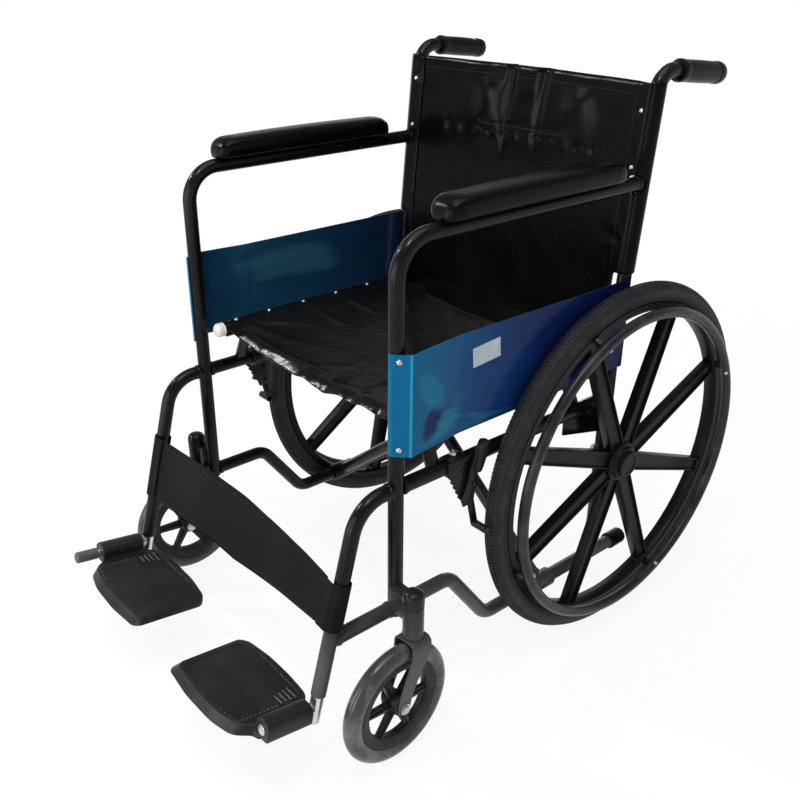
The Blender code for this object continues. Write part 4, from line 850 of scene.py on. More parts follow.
# %% Side rails, gussets and saddles
GUSSET_REACH, GUSSET_DROP, GUSSET_THICK = 0.105, 0.048, 0.003
SADDLES, SADDLE_WIDE, SADDLE_HALF, SADDLE_THICK = (0.070, 0.365), 0.020, 0.011, 0.004
HEM_R = 0.0150
SADDLE_TOP = SEAT_RAIL_Z - HEM_R - 0.0006
for side in SIDES:
    rail = bmesh.new()
    sweep(rail, side.path((BURIED, SIDE_RAIL_Z), (POST_TO_CANE - BURIED, SIDE_RAIL_Z)), TUBE_R)
    bead(rail, side.at(0, WELD, SIDE_RAIL_Z), Y)
    bead(rail, side.at(0, POST_TO_CANE - WELD, SIDE_RAIL_Z), Y)
    rear, fore = POST_TO_CANE - TUBE_R - 0.0003, POST_TO_CANE - GUSSET_REACH
    outline = [
        (rear, SIDE_RAIL_Z - GUSSET_DROP - TUBE_R), (rear, SIDE_RAIL_Z),
        (fore, SIDE_RAIL_Z), (fore, SIDE_RAIL_Z - GUSSET_DROP * 0.75),
    ]
    slab(rail, outline, side.at(-GUSSET_THICK / 2, 0, 0), Y, Z, side.out * GUSSET_THICK)
    middle, under, foot = SEAT_HALF - FRAME_HALF, SADDLE_TOP - SADDLE_THICK, SIDE_RAIL_Z + TUBE_R * 0.6
    outline = [
        (0.002, foot), (-0.0088, foot), (middle - 0.002, under), (middle - SADDLE_HALF, under),
        (middle - SADDLE_HALF, SADDLE_TOP), (middle + SADDLE_HALF, SADDLE_TOP), (middle + SADDLE_HALF, under),
        (middle + 0.002, under),
    ]
    for back in SADDLES:
        slab(rail, outline, side.at(0, back - SADDLE_WIDE / 2, 0), side.out, Z, Y * SADDLE_WIDE)
    settled(f"{side.name}_side_rail_round", rail, PAINT, side.body, [f"{side.name}_side_rail"])
print("side rails done")

# %% [markdown]
# The push grips are smooth vinyl sleeves, a little fuller where the hand goes, with a thicker rim at the open end
# and a rounded closed end. The tip cap on the lower rail is a plain cap of the same stuff.

# %% Grips and tip caps
GRIP_LENGTH, GRIP_R = 0.111, 0.0165
CAP_R = TUBE_R + 0.0031
for side in SIDES:
    along = Vector((0, cos(HANDLE_DROOP), -sin(HANDLE_DROOP)))
    end = side.at(0, cane_back(CANE_TOP_Z), CANE_TOP_Z) + along * HANDLE_LENGTH
    start = 0.006 - GRIP_LENGTH
    profile = [(TUBE_R + 0.0003, start + 0.001), (GRIP_R * 0.93, start), (GRIP_R, start + 0.002)]
    profile += [(GRIP_R, start + 0.009), (GRIP_R * 0.955, start + 0.012)]
    for share in [k / 8 for k in range(9)]:
        profile.append((GRIP_R * (0.955 + 0.03 * sin(pi * share)), start + 0.014 + (GRIP_LENGTH - 0.030) * share))
    profile += [(GRIP_R, -0.010), (GRIP_R, -0.002), (GRIP_R * 0.95, 0.001), (GRIP_R * 0.8, 0.0040)]
    profile += [(GRIP_R * 0.5, 0.0055), (GRIP_R * 0.15, 0.006)]
    grip = bmesh.new()
    spin(grip, profile, end, along, 40)
    settled(f"{side.name}_push_grip_sleeve", grip, GRIP, side.body, [f"{side.name}_push_grip"], smooth=50)

    cap = bmesh.new()
    profile = [
        (TUBE_R + 0.0002, -0.0332), (CAP_R - 0.0004, -0.0332), (CAP_R, -0.0325), (CAP_R + 0.0003, -0.030),
        (CAP_R, -0.0275), (CAP_R, -0.002), (CAP_R - 0.0012, 0.0010), (CAP_R - 0.0040, 0.0026), (0.002, 0.0028),
    ]
    spin(cap, profile, side.at(0, POST_TO_CANE + TIP_REACH, REAR_RAIL_Z), Y, 36)
    settled(f"{side.name}_tip_cap_round", cap, GRIP, side.body, [f"{side.name}_tip_cap"])
print("grips done")

# %% [markdown]
# The drive wheel is one moulding: a rim, a hub and eight tapered spokes with a rib along each edge. One spoke is
# drawn, and Geometry Nodes set eight of them round the hub. The tyre gets small tread blocks in the same way.

# %% Drive wheels
WHEEL_OUT, TYRE_R, TYRE_SEAT = 0.034, 0.0168, radians(135)
WHEEL_TURN = {"left": radians(23.6), "right": radians(34)}
RIM_OUTER = WHEEL_R - TYRE_R * (1 - cos(TYRE_SEAT)) - 0.0003
RIM_INNER, RIM_HALF = RIM_OUTER - 0.0138, 0.0125
SPOKES, HUB_R, HUB_OUTER = 8, 0.032, 0.0152
HUB_INNER = 0.0155 + 0.0005 - WHEEL_OUT
TREAD, GROOVE, SHOULDER, GROOVE_TURN, GROOVE_HALF = 0.0009, 0.0006, radians(62), radians(20), radians(4.5)
BLOCKS, BLOCK_LONG, BLOCK_LEAN = 280, 0.0042, 0.003 / 60
BLOCK_SPANS = ((6, 18), (-18, -6), (23, 40), (-40, -23), (44, 60), (-60, -44))


def turned_axes(turn):
    """Two ways in the plane of a side: back, turned up by so much, and the one across it."""
    return Y * cos(turn) + Z * sin(turn), Z * cos(turn) - Y * sin(turn)


def spoke(side, centre, turn):
    bm = bmesh.new()
    root, tip = HUB_R * 0.7, RIM_INNER + 0.004

    def plate(outline, half, ease, segments):
        slab(bm, outline, centre - side.out * half, *turned_axes(turn), side.out * 2 * half, ease, segments)

    plate([(root, -0.0135), (tip, -0.0105), (tip, 0.0105), (root, 0.0135)], 0.0045, 0.0004, 1)
    for sign in (-1, 1):
        edge = [(root, sign * 0.0150), (tip, sign * 0.0116), (tip, sign * 0.0088), (root, sign * 0.0122)]
        plate(edge, 0.0085, 0.0009, 2)
        gore = [(tip - 0.010, sign * 0.010), (tip + 0.001, sign * 0.010), (tip + 0.001, sign * 0.019)]
        plate(gore, 0.0080, 0.0006, 1)
    return bm


def tread_section():
    """The tyre's section: a raised tread with three grooves, between plain walls."""
    section = []
    for k in range(33):
        t = TYRE_SEAT * (2 * k / 32 - 1)
        radius = TYRE_R - (TREAD if abs(t) < SHOULDER else TREAD * 0.15)
        if min(abs(t), abs(abs(t) - GROOVE_TURN)) < GROOVE_HALF:
            radius -= GROOVE
        section.append((WHEEL_R - TYRE_R + radius * cos(t), radius * sin(t)))
    return section


def tread_blocks(side, centre):
    """One row of blocks across the tread, each leaning a little."""
    bm = bmesh.new()
    core = centre + Z * (WHEEL_R - TYRE_R)
    for low, high in BLOCK_SPANS:
        rings = []
        for radius in (TYRE_R - TREAD * 1.3, TYRE_R):
            ring = []
            for angle, lead in ((low, -0.5), (high, -0.5), (high, 0.5), (low, 0.5)):
                t, shift = radians(angle), lead * BLOCK_LONG + angle * BLOCK_LEAN
                ring.append(core + side.out * radius * sin(t) + Z * (radius * cos(t)) + Y * shift)
            rings.append(ring)
        skin(bm, rings)
    return bm


for side in SIDES:
    name, body = side.name, f"{side.name}_wheel"
    middle = side.at(WHEEL_OUT, POST_TO_CANE, WHEEL_R)
    spokes = settled(f"{name}_spokes", spoke(side, middle, WHEEL_TURN[name]), MAG, None)
    about(spokes, SPOKES, middle, MAG)
    wheel = bmesh.new()
    profile = both_ways([
        (RIM_INNER, -RIM_HALF + 0.002), (RIM_INNER + 0.002, -RIM_HALF), (RIM_OUTER - 0.004, -RIM_HALF),
        (RIM_OUTER - 0.001, -RIM_HALF - 0.0006), (RIM_OUTER + 0.0002, -RIM_HALF + 0.001),
    ])
    spin(wheel, profile + [(RIM_INNER - 0.001, 0)], middle, side.out, 160, loop=True)
    hub = [
        (0.0065, HUB_INNER), (HUB_R - 0.006, HUB_INNER), (HUB_R - 0.004, HUB_INNER + 0.002),
        (HUB_R - 0.002, -0.010), (HUB_R + 0.001, -0.007), (HUB_R + 0.0015, 0.009), (HUB_R - 0.001, 0.0115),
        (HUB_R - 0.004, 0.012), (HUB_R - 0.0055, 0.0155), (0.0235, 0.0165), (0.0225, 0.0175), (0.0222, 0.0225),
        (0.0205, 0.0242), (0.0165, 0.0245), (0.0158, 0.0232), (0.004, 0.0232),
    ]
    spin(wheel, hub, middle, side.out, 72)
    moulding = joined_into(settled(f"{name}_drive_wheel_moulding", wheel, MAG, None), [spokes])
    dress(moulding, body, [f"{name}_rear_wheel"])

    blocks = settled(f"{name}_tread_blocks", tread_blocks(side, middle), TYRE, None)
    about(blocks, BLOCKS, middle, TYRE)
    tyre = bmesh.new()
    spin(tyre, tread_section(), middle, side.out, 200, loop=True)
    carcass = joined_into(settled(f"{name}_drive_tyre", tyre, TYRE, None), [blocks])
    dress(carcass, body, [f"{name}_rear_tyre"])
print("drive wheels done")

# %% [markdown]
# The handrim is a moulded hoop that stands off the wheel on four lugs, each held by a screw whose head shows as a
# bright spot. The axle bolt's nut is hidden by the hub cap, and its head shows inside the frame.

# %% Handrims and axles
HANDRIM_R, HANDRIM_OUT, HANDRIM_TUBE_R = 0.2585, 0.031, 0.0085
LUGS, LUG_HALF, LUG_FOOT, LUG_SEAT = 4, 0.005, RIM_INNER + 0.004, 0.0128
for side in SIDES:
    name = side.name
    middle = side.at(WHEEL_OUT, POST_TO_CANE, WHEEL_R)
    hoop = bmesh.new()
    turns = [tau * n / 20 for n in range(20)]
    tube = [(HANDRIM_R + HANDRIM_TUBE_R * cos(t), HANDRIM_OUT + HANDRIM_TUBE_R * sin(t)) for t in turns]
    spin(hoop, tube, middle, side.out, 180, loop=True)
    spots = []
    for k in range(LUGS):
        along, aside = turned_axes(WHEEL_TURN[name] + tau * k / LUGS)
        outline = [
            (HANDRIM_R, HANDRIM_OUT - HANDRIM_TUBE_R / 2), (LUG_FOOT, LUG_SEAT),
            (LUG_FOOT + 2 * LUG_HALF, LUG_SEAT), (HANDRIM_R + 0.004, HANDRIM_OUT - HANDRIM_TUBE_R / 3),
        ]
        slab(hoop, outline, middle - aside * LUG_HALF, along, side.out, aside * 2 * LUG_HALF, 0.001)
        lean = (side.out * 0.7 - along * 0.7).normalized()
        head = middle + along * HANDRIM_R + side.out * HANDRIM_OUT + lean * (HANDRIM_TUBE_R - 0.0002)
        spots.append((head, lean, aside))
    settled(f"{name}_handrim_hoop", hoop, RIM, f"{name}_wheel", [f"{name}_handrim"])
    stamped(f"{name}_handrim_screws", spots, SCREW, ZINC, f"{name}_wheel", 0.8)

    axle = bmesh.new()
    inner = side.at(-TUBE_R, POST_TO_CANE, WHEEL_R)
    rod(axle, 0.006, inner, side.at(WHEEL_OUT + HUB_OUTER, POST_TO_CANE, WHEEL_R))
    hexagon_bolt(axle, inner, -side.out, 0.0165, 0.0065)
    rod(axle, 0.0095, side.at(TUBE_R, POST_TO_CANE, WHEEL_R), side.at(0.0155, POST_TO_CANE, WHEEL_R))
    settled(f"{name}_rear_axle_bolt", axle, ZINC, side.body, [f"{name}_rear_axle"])
print("handrims done")

# %% [markdown]
# The caster turns freely in a tube beside the post. Its tube has a ring near the top and a domed dust cap. The
# fork is one strap bent over the wheel, so it is drawn as a strap: a rectangle carried along the bend, narrower
# towards the bolt. The photographed casters were rolled backwards and stand a few degrees off straight.

# %% Casters
CASTER_R, CASTER_TYRE_R, CASTER_TRAIL, CASTER_BACK = 0.0945, 0.0135, 0.0325, -0.0115
CASTER_OUT = {"left": 0.052, "right": 0.034}
CASTER_STEER = {"left": radians(3), "right": radians(-7)}
CASTER_TURN = {"left": radians(53), "right": 0.0}
# The near caster tyre has the copy with painted light, and the far one the copy with painted shade.
CASTER_RUBBERS = {"left": NEAR_CASTER_RUBBER_LIT, "right": FAR_CASTER_RUBBER_SHADED}
CASTER_RIM_OUTER = CASTER_R - CASTER_TYRE_R * (1 - cos(TYRE_SEAT)) - 0.0003
CASTER_RIM_INNER, CASTER_RIM_HALF, CASTER_SPOKES = CASTER_RIM_OUTER - 0.017, 0.0094, 6
FORK_OUT, FORK_THICK, FORK_BOSS, FORK_HALF, FORK_BEND = CASTER_TYRE_R + 0.003, 0.0035, 0.0109, 0.0175, 0.0085
CROWN_Z = 2 * CASTER_R + 0.0025
HEAD_Z, HEAD_R, HEAD_LONG = CROWN_Z + 0.0045, 0.0155, 0.074
HEAD_RING = HEAD_LONG * 0.70
HEAD_PROFILE = [
    (0.0092, 0.0005), (HEAD_R - 0.0012, 0), (HEAD_R + 0.0004, 0.0010), (HEAD_R + 0.0004, 0.0032),
    (HEAD_R - 0.0004, 0.0040), (HEAD_R - 0.0004, HEAD_RING - 0.002), (HEAD_R - 0.0014, HEAD_RING - 0.0012),
    (HEAD_R - 0.0014, HEAD_RING + 0.0004), (HEAD_R, HEAD_RING + 0.0012), (HEAD_R, HEAD_LONG * 0.86),
    (HEAD_R * 0.975, HEAD_LONG * 0.895), (HEAD_R * 0.90, HEAD_LONG * 0.94), (HEAD_R * 0.74, HEAD_LONG * 0.975),
    (HEAD_R * 0.5, HEAD_LONG * 0.995), (HEAD_R * 0.2, HEAD_LONG),
]


def smooth(t):
    """From 0 to 1 with a soft start and end."""
    return t * t * (3 - 2 * t)


def strap(bm, stations, ease=0.0007):
    """A flat bar carried along stations of (middle, way of its width, half width, way of its thickness, half)."""
    rings = []
    for middle, wide, half, thick, deep in stations:
        e = min(ease, half * 0.45, deep * 0.45)
        corners = both_ways([(half, deep - e), (half - e, deep), (e - half, deep), (-half, deep - e)])
        rings.append([middle + wide * a + thick * b for a, b in corners])
    return skin(bm, rings)


def fork_stations(axis):
    """Stations up the outer leg, over the crown and down the inner leg."""
    out, crown = FORK_OUT + FORK_THICK / 2, CROWN_Z + 0.002 - FORK_BEND
    leg = []
    for a in [radians(-80 + 80 * k / 6) for k in range(7)]:
        leg.append((out, CASTER_R + FORK_BOSS * sin(a), -CASTER_TRAIL, FORK_BOSS * cos(a), 0.0))
    for t in [k / 14 for k in range(1, 15)]:
        half = FORK_BOSS + (FORK_HALF - FORK_BOSS) * smooth(t)
        leg.append((out, CASTER_R + (crown - CASTER_R) * t, -CASTER_TRAIL * (1 - smooth(t)), half, 0.0))
    for a in [radians(90 * k / 7) for k in range(1, 8)]:
        leg.append((out - FORK_BEND + FORK_BEND * cos(a), crown + FORK_BEND * sin(a), 0.0, FORK_HALF, a))
    stations = []
    for sign, spots in ((1, leg), (-1, leg[::-1])):
        for x, z, y, half, lean in spots:
            thick = Vector((sign * cos(lean), 0, sin(lean)))
            stations.append((axis + Vector((sign * x, y, z)), Y, half, thick, FORK_THICK / 2))
    return stations


def caster_spoke(hub, turn):
    bm = bmesh.new()
    along, aside = turned_axes(turn)
    root, tip = 0.011, CASTER_RIM_OUTER - 0.013
    web = both_ways([(root, -0.0078), (tip - 0.006, -0.0060), (tip, -0.0095)])
    slab(bm, web, hub - X * 0.0036, along, aside, X * 0.0072, 0.001)
    spine = both_ways([(root, -0.0022), (tip - 0.003, -0.0018)])
    slab(bm, spine, hub - X * 0.0066, along, aside, X * 0.0132, 0.0012)
    return bm


for side in SIDES:
    name, body = side.name, f"{side.name}_caster"
    axis = side.at(CASTER_OUT[name], CASTER_BACK, 0)
    hub = axis + Vector((0, -CASTER_TRAIL, CASTER_R))
    steered = Matrix.Translation(axis) @ Matrix.Rotation(CASTER_STEER[name], 4, "Z") @ Matrix.Translation(-axis)

    head = bmesh.new()
    spin(head, HEAD_PROFILE, axis + Z * HEAD_Z, Z, 48)
    inner, outer = side.at(0.004, 0, HEAD_Z), side.at(CASTER_OUT[name] - HEAD_R * 0.7, 0, HEAD_Z)
    plate = [(CASTER_BACK - 0.0055, 0.017), (0.0055, 0.017), (0.0055, 0.055), (CASTER_BACK - 0.0055, 0.055)]
    slab(head, plate, inner, Y, Z, outer - inner, 0.002)
    settled(f"{name}_caster_head_round", head, PAINT, side.body, [f"{name}_caster_head"])

    fork = bmesh.new()
    strap(fork, fork_stations(axis))
    rod(fork, 0.0078, axis + Z * CROWN_Z, axis + Z * (HEAD_Z + HEAD_LONG - 0.0130))
    spin(fork, [(0.0165, 0), (0.0165, 0.0005), (0.010, 0.0018)], axis + Z * (CROWN_Z + 0.0035), Z, 36)
    settled(f"{name}_caster_fork_strap", fork, PAINT, body, [f"{name}_caster_fork"], place=steered)

    bolt = bmesh.new()
    reach = X * (FORK_OUT + FORK_THICK)
    rod(bolt, 0.004, hub - reach, hub + reach)
    for sign in (-1, 1):
        end = hub + reach * sign
        spin(bolt, [(0.0085, 0.0), (0.0085, 0.0012), (0.006, 0.0014)], end, X * sign, 24)
        hexagon_bolt(bolt, end + X * sign * 0.0012, X * sign, 0.0118, 0.0030)
    settled(f"{name}_caster_bolt", bolt, ZINC, body, [f"{name}_caster_axle"], place=steered)

    tyre = bmesh.new()
    section = []
    for t in [TYRE_SEAT * (2 * k / 28 - 1) for k in range(29)]:
        lift = 0.0002 if abs(t) < radians(3) else (-0.0003 if radians(38) < abs(t) < radians(43) else 0.0)
        radius = CASTER_R - CASTER_TYRE_R + (CASTER_TYRE_R - 0.0002 + lift) * cos(t)
        section.append((radius, (CASTER_TYRE_R + lift) * sin(t)))
    spin(tyre, section, hub, X, 120, loop=True)
    settled(
        f"{name}_caster_tyre_round", tyre, CASTER_RUBBERS[name], f"{body}_roll", [f"{name}_caster_tyre"],
        place=steered, smooth=30,
    )

    spokes = settled(f"{name}_caster_spokes", caster_spoke(hub, CASTER_TURN[name]), CASTER_WHEEL, None)
    about(spokes, CASTER_SPOKES, hub, CASTER_WHEEL)
    wheel = bmesh.new()
    profile = both_ways([
        (CASTER_RIM_INNER + 0.001, -0.0060), (CASTER_RIM_INNER + 0.005, -CASTER_RIM_HALF + 0.0012),
        (CASTER_RIM_OUTER - 0.003, -CASTER_RIM_HALF), (CASTER_RIM_OUTER + 0.0002, -CASTER_RIM_HALF),
    ])
    spin(wheel, profile + [(CASTER_RIM_INNER, 0.002), (CASTER_RIM_INNER, -0.002)], hub, X, 96, loop=True)
    boss = both_ways([(0.0045, -0.0158), (0.0125, -0.0158), (0.0142, -0.0145), (0.0160, -0.006)])
    spin(wheel, boss, hub, X, 40)
    moulding = joined_into(settled(f"{name}_caster_wheel_moulding", wheel, CASTER_WHEEL, None), [spokes])
    moulding.data.transform(steered)
    dress(moulding, f"{body}_roll", [f"{name}_caster_wheel"])
print("casters done")

# %% [markdown]
# Each brake is a toggle: a lever swings a small arm whose end bar presses on the tyre. The plate is clamped to
# the side rail by a collar and has a row of teeth ahead of it.

# %% Brakes
TYRE_FRONT = POST_TO_CANE - WHEEL_R
BRAKE_CLAMP, CLAMP_LONG, CLAMP_R = TYRE_FRONT - 0.0575, 0.028, 0.0159
PIVOT_AT, KNOB_AT = (TYRE_FRONT - 0.0225, 0.372), (TYRE_FRONT - 0.0035, 0.430)
SHOE_PIVOT = (PIVOT_AT[0], PIVOT_AT[1] - 0.027)
SHOE_AT = (TYRE_FRONT - 0.012, SHOE_PIVOT[1] - 0.045)
BRAKE_FACE, ARM_FACE, ARM_HALF = TUBE_R + 0.0007, 0.0154, 0.006
# Stations of the lever and its grip: the share of the way to the knob, how far off that line, and the half width.
LEVER = (
    (0.0, 0.0, 0.011), (0.22, -0.0045, 0.0085), (0.45, -0.006, 0.007), (0.75, -0.0035, 0.0063), (1.0, 0, 0.006)
)
LEVER_GRIP = ((0.30, 0.0062), (0.45, 0.0082), (0.75, 0.0090), (1.0, 0.0088), (1.10, 0.0060))


def brake_plate(side):
    bm = bmesh.new()
    (y, z), low = PIVOT_AT, SHOE_PIVOT[1]
    outline = [
        (BRAKE_CLAMP - 0.006, SIDE_RAIL_Z + 0.012), (y + 0.015, SIDE_RAIL_Z + 0.012), (y + 0.014, z),
        (y + 0.010, low - 0.010), (y - 0.010, low - 0.012),
    ]
    for k in range(5):
        base, edge = low + 0.001 + 0.0098 * k, y - 0.015 - 0.0050 * k
        outline += [(edge, base), (edge - 0.0066, base + 0.0068)]
    slab(bm, outline, side.at(BRAKE_FACE, 0, 0), Y, Z, side.out * 0.003, 0.0006)
    collar(bm, TUBE_R + 0.0002, CLAMP_R, CLAMP_LONG, side.at(0, BRAKE_CLAMP, SIDE_RAIL_Z), Y)
    for spot, end in ((PIVOT_AT, 0.0245), (SHOE_PIVOT, 0.0182)):
        rod(bm, 0.0035, side.at(BRAKE_FACE, *spot), side.at(end, *spot), 20)
    return bm


def brake_lever(side):
    bm = bmesh.new()
    reach = Vector((0, KNOB_AT[0] - PIVOT_AT[0], KNOB_AT[1] - PIVOT_AT[1]))
    along, aside, middle = reach.normalized(), reach.cross(X).normalized(), side.at(0.0190, *PIVOT_AT)
    above = [(reach.length * share, off + wide) for share, off, wide in LEVER]
    below = [(reach.length * share, off - wide) for share, off, wide in LEVER]
    outline = [(-0.032, 0.0), *above, *reversed(below), (-0.030, -0.012)]
    slab(bm, outline, middle, along, aside, side.out * 0.0035, 0.0007)
    grip = both_ways([(reach.length * share, wide) for share, wide in LEVER_GRIP])
    slab(bm, softened(grip, 0.004), middle - side.out * 0.0028, along, aside, side.out * 0.0090, 0.0026, 3)
    knob = [(0.0050, -0.0028), (0.0071, -0.0020), (0.0071, 0.0040), (0.0058, 0.0052), (0.0020, 0.0055)]
    spin(bm, knob, middle + reach + side.out * 0.00175, side.out, 28)
    return bm


def brake_shoe(side):
    bm = bmesh.new()
    drop = Vector((0, SHOE_AT[0] - SHOE_PIVOT[0], SHOE_AT[1] - SHOE_PIVOT[1]))
    arm = [(-0.009, -ARM_HALF), (drop.length, -ARM_HALF)]
    for turn in [radians(30 * k) for k in range(1, 6)]:
        arm.append((drop.length + ARM_HALF * sin(turn), -ARM_HALF * cos(turn)))
    arm += [(drop.length, ARM_HALF), (-0.009, ARM_HALF)]
    down, aside = drop.normalized(), drop.cross(X).normalized()
    slab(bm, arm, side.at(ARM_FACE, *SHOE_PIVOT), down, aside, side.out * 0.0028, 0.0006)
    rod(bm, ARM_HALF, side.at(ARM_FACE, *SHOE_AT), side.at(WHEEL_OUT + TYRE_R * 0.6, *SHOE_AT), 28, 0.0012)
    return bm


for side in SIDES:
    name = side.name
    settled(f"{name}_brake_plate_cut", brake_plate(side), IRON, side.body, [f"{name}_brake_plate"])
    settled(f"{name}_brake_lever_bar", brake_lever(side), IRON, f"{name}_brake", [f"{name}_brake_lever"])
    settled(f"{name}_brake_shoe_bar", brake_shoe(side), IRON, f"{name}_shoe", [f"{name}_brake_shoe"])
print("brakes done")

# %% [markdown]
# A plated tube slides in the foot of the hanger and carries the footplate on a stub. The footplate is a moulded
# tray with a hollow underside, a rounded barrel round the stub, a row of raised dots beside the barrel and
# round the front corner, and four short ribs at the back. The dots and ribs are painted paler, a painted highlight
# for their glints.

# %% Footrests
PLATED_R, PLATED_UP, STUB_R = 0.0095, 0.088, 0.0075
SLEEVE_HALF, SLEEVE_BACK, SLEEVE_FRONT = 0.0155, 0.0145, 0.0880
PLATE_TOP, PLATE_SKIRT, PLATE_THIN, PLATE_BEVEL = -0.005, 0.015, 0.004, 0.008
PLATE_LONG, PLATE_REACH, PLATE_BULGE = 0.1975, 0.1270, 0.015
STUB_BEYOND = {"left": 0.0015, "right": 0.024}
PLATE_DROOP = {"left": 0.0, "right": radians(2)}
# Rings of the tray from its hollow underside over its edge to its top: inset, drop, slope, whether bevelled.
PLATE_RINGS = (
    (0.0105, PLATE_SKIRT * 0.25, 0.0, True), (0.0045, PLATE_SKIRT - 0.0002, PLATE_THIN, False),
    (0.0, PLATE_SKIRT, PLATE_THIN, False), (-0.0003, PLATE_SKIRT * 0.93, PLATE_THIN * 0.9, False),
    (0.0, 0.0022, 0.0, True), (0.0010, 0.0007, 0.0, True), (0.0028, 0.0, 0.0, True), (0.0110, 0.0, 0.0, True),
    (0.0118, 0.0007, 0.0, True), (0.0128, 0.0007, 0.0, True),
)
FRONT_DOTS, SIDE_DOTS, DOT_INBOARD, DOT_SUNK, RIBS = 4, 10, 0.0345, 0.0003, 4


def footplate_mesh(side):
    half, long, bulge = SLEEVE_HALF, PLATE_LONG, -PLATE_BULGE
    outline = softened([
        (half * 0.3, SLEEVE_BACK), (half, SLEEVE_BACK * 0.7), (half * 2.2, bulge * 0.7), (long * 0.42, bulge),
        (long * 0.68, bulge), (long * 0.92, bulge * 0.55), (long * 0.99, 0.002), (long, PLATE_REACH - 0.016),
        (long * 0.965, PLATE_REACH - 0.006), (long * 0.68, PLATE_REACH), (long * 0.36, PLATE_REACH - 0.002),
        (half * 2, PLATE_REACH - 0.012), (half, SLEEVE_FRONT + 0.003), (half * 0.3, SLEEVE_FRONT),
    ])
    centre = Vector((long / 2, (PLATE_REACH - PLATE_BULGE) / 2))

    def ring(inset, drop, slope, bevelled):
        spots = []
        for a, b in outline:
            share = max(0.0, b) / PLATE_REACH * PLATE_BEVEL if bevelled else 0.0
            spot = Vector((a - share * a / long, b - share))
            a, b = spot + (centre - spot).normalized() * inset
            spots.append(side.foot(a, b, PLATE_TOP - drop + slope * a / long))
        return spots

    bm = bmesh.new()
    skin(bm, [ring(*values) for values in PLATE_RINGS])
    for b in [0.012 + 0.022 * k for k in range(5)]:  # stiffening bars underneath
        low = [(0.028, b), (long * 0.9, b), (long * 0.9, b + 0.002), (0.028, b + 0.002)]
        skin(bm, [[side.foot(i, j, PLATE_TOP - d) for i, j in low] for d in (0.0030, 0.0105)])
    section = []
    for t in [tau * n / 32 for n in range(32)]:
        power = 0.42 if sin(t) < 0 else 0.72
        section.append((half * bulged(cos(t), power), half * bulged(sin(t), power)))
    ends = ((SLEEVE_BACK, 0.93), (SLEEVE_BACK + 0.0012, 1.0), (SLEEVE_FRONT - 0.0012, 1.0), (SLEEVE_FRONT, 0.93))
    skin(bm, [[side.foot(i * scale, ahead, j * scale) for i, j in section] for ahead, scale in ends])
    return bm


def rib_mesh(side):
    bm = bmesh.new()
    for k in range(RIBS):
        b = 0.0075 + 0.0080 * k
        rod(bm, 0.0013, side.foot(0.0350, b, PLATE_TOP), side.foot(0.0600 - 0.0020 * k, b, PLATE_TOP), 10, 0.0005)
    return bm


def dots(side):
    row = [(DOT_INBOARD, 0.041 + 0.0068 * k) for k in range(SIDE_DOTS)]
    row += [(0.0400 + 0.0100 * k, PLATE_REACH - 0.0225 + 0.0015 * k) for k in range(FRONT_DOTS)]
    return [(side.foot(a, b, PLATE_TOP - DOT_SUNK), FOOT_UP, X) for a, b in row]


for side in SIDES:
    name, body, home = side.name, f"{side.name}_plate", side.foot(0, 0, 0)
    end = side.at(0, hanger_back(HANGER_END_Z), HANGER_END_Z)
    depth = (HANGER_END_Z - STUB_Z[name] + 0.022) / cos(HANGER_SLOPE)
    stub_end = side.foot(0, SLEEVE_FRONT + STUB_BEYOND[name], 0)
    tube = bmesh.new()
    rod(tube, PLATED_R, end - HANGER_DOWN * PLATED_UP, end + HANGER_DOWN * depth, 32, 0.0012)
    rod(tube, STUB_R, home, stub_end, 28)
    spin(tube, [(0.0105, 0), (0.0105, 0.0020)], side.foot(0, SLEEVE_BACK - 0.0030, 0), AHEAD, 28)
    settled(f"{name}_footrest_tube_plated", tube, CHROME, f"{name}_footrest", [f"{name}_footrest_tube"])
    if name == "right":
        plug = bmesh.new()
        profile = [(0.0080, -0.018), (0.0095, -0.018), (0.0095, 0.0145), (0.0088, 0.0168)]
        spin(plug, profile + [(0.0070, 0.0178), (0.0020, 0.0180)], stub_end, AHEAD, 28)
        settled("right_footrest_plug_round", plug, GREY_PLUG, "right_footrest", ["right_footrest_plug"])

    droop = Quaternion(AHEAD, side.sign * PLATE_DROOP[name]).to_matrix().to_4x4()
    place = Matrix.Translation(home) @ droop @ Matrix.Translation(-home)
    tray = footplate_mesh(side)
    settled(f"{name}_footplate_moulding", tray, FOOT, body, [f"{name}_footplate"], place=place, smooth=32)
    # The dots and ribs carry a painted highlight.
    stamped(f"{name}_footplate_dots", dots(side), DOT, FOOT_PAINTED_GLINT, body, 1.4, "foot_plastic", place)
    settled(f"{name}_footplate_ribs", rib_mesh(side), FOOT_PAINTED_GLINT, body, slot="foot_plastic", place=place)
print("footrests done")

# %% [markdown]
# The arm pad is dense foam with its own skin, moulded in one piece. Its section is a rounded box with a lip line
# low on its sides, and it thins and narrows towards a rounded nose and tail. It sits on the arm tube.

# %% Arm pads
PAD_FRONT, PAD_LENGTH, PAD_HALF, PAD_HEIGHT = {"left": 0.067, "right": 0.052}, 0.343, 0.0265, 0.033
PAD_BOTTOM = ARM_Z + TUBE_R + 0.0003
PAD_STATIONS = (
    0, 0.004, 0.010, 0.020, 0.036, 0.06, 0.10, 0.16, 0.24, 0.34, 0.46, 0.58, 0.70, 0.80, 0.88, 0.93, 0.96, 0.98,
    0.992, 1,
)


def rounding(share):
    """From 0 at an end to 1 inside it, along a quarter of a circle."""
    return sqrt(1 - (1 - min(1, share)) ** 2)


def pad_section():
    section = []
    for angle in [-pi / 2 + tau * t / 30 for t in range(30)]:
        wide = bulged(cos(angle), 0.62)
        high = 0.5 + 0.5 * bulged(sin(angle), 0.48 if sin(angle) < 0 else 0.66)
        section.append((wide * 0.965 if 0.16 < high < 0.30 else wide, high))
    return section


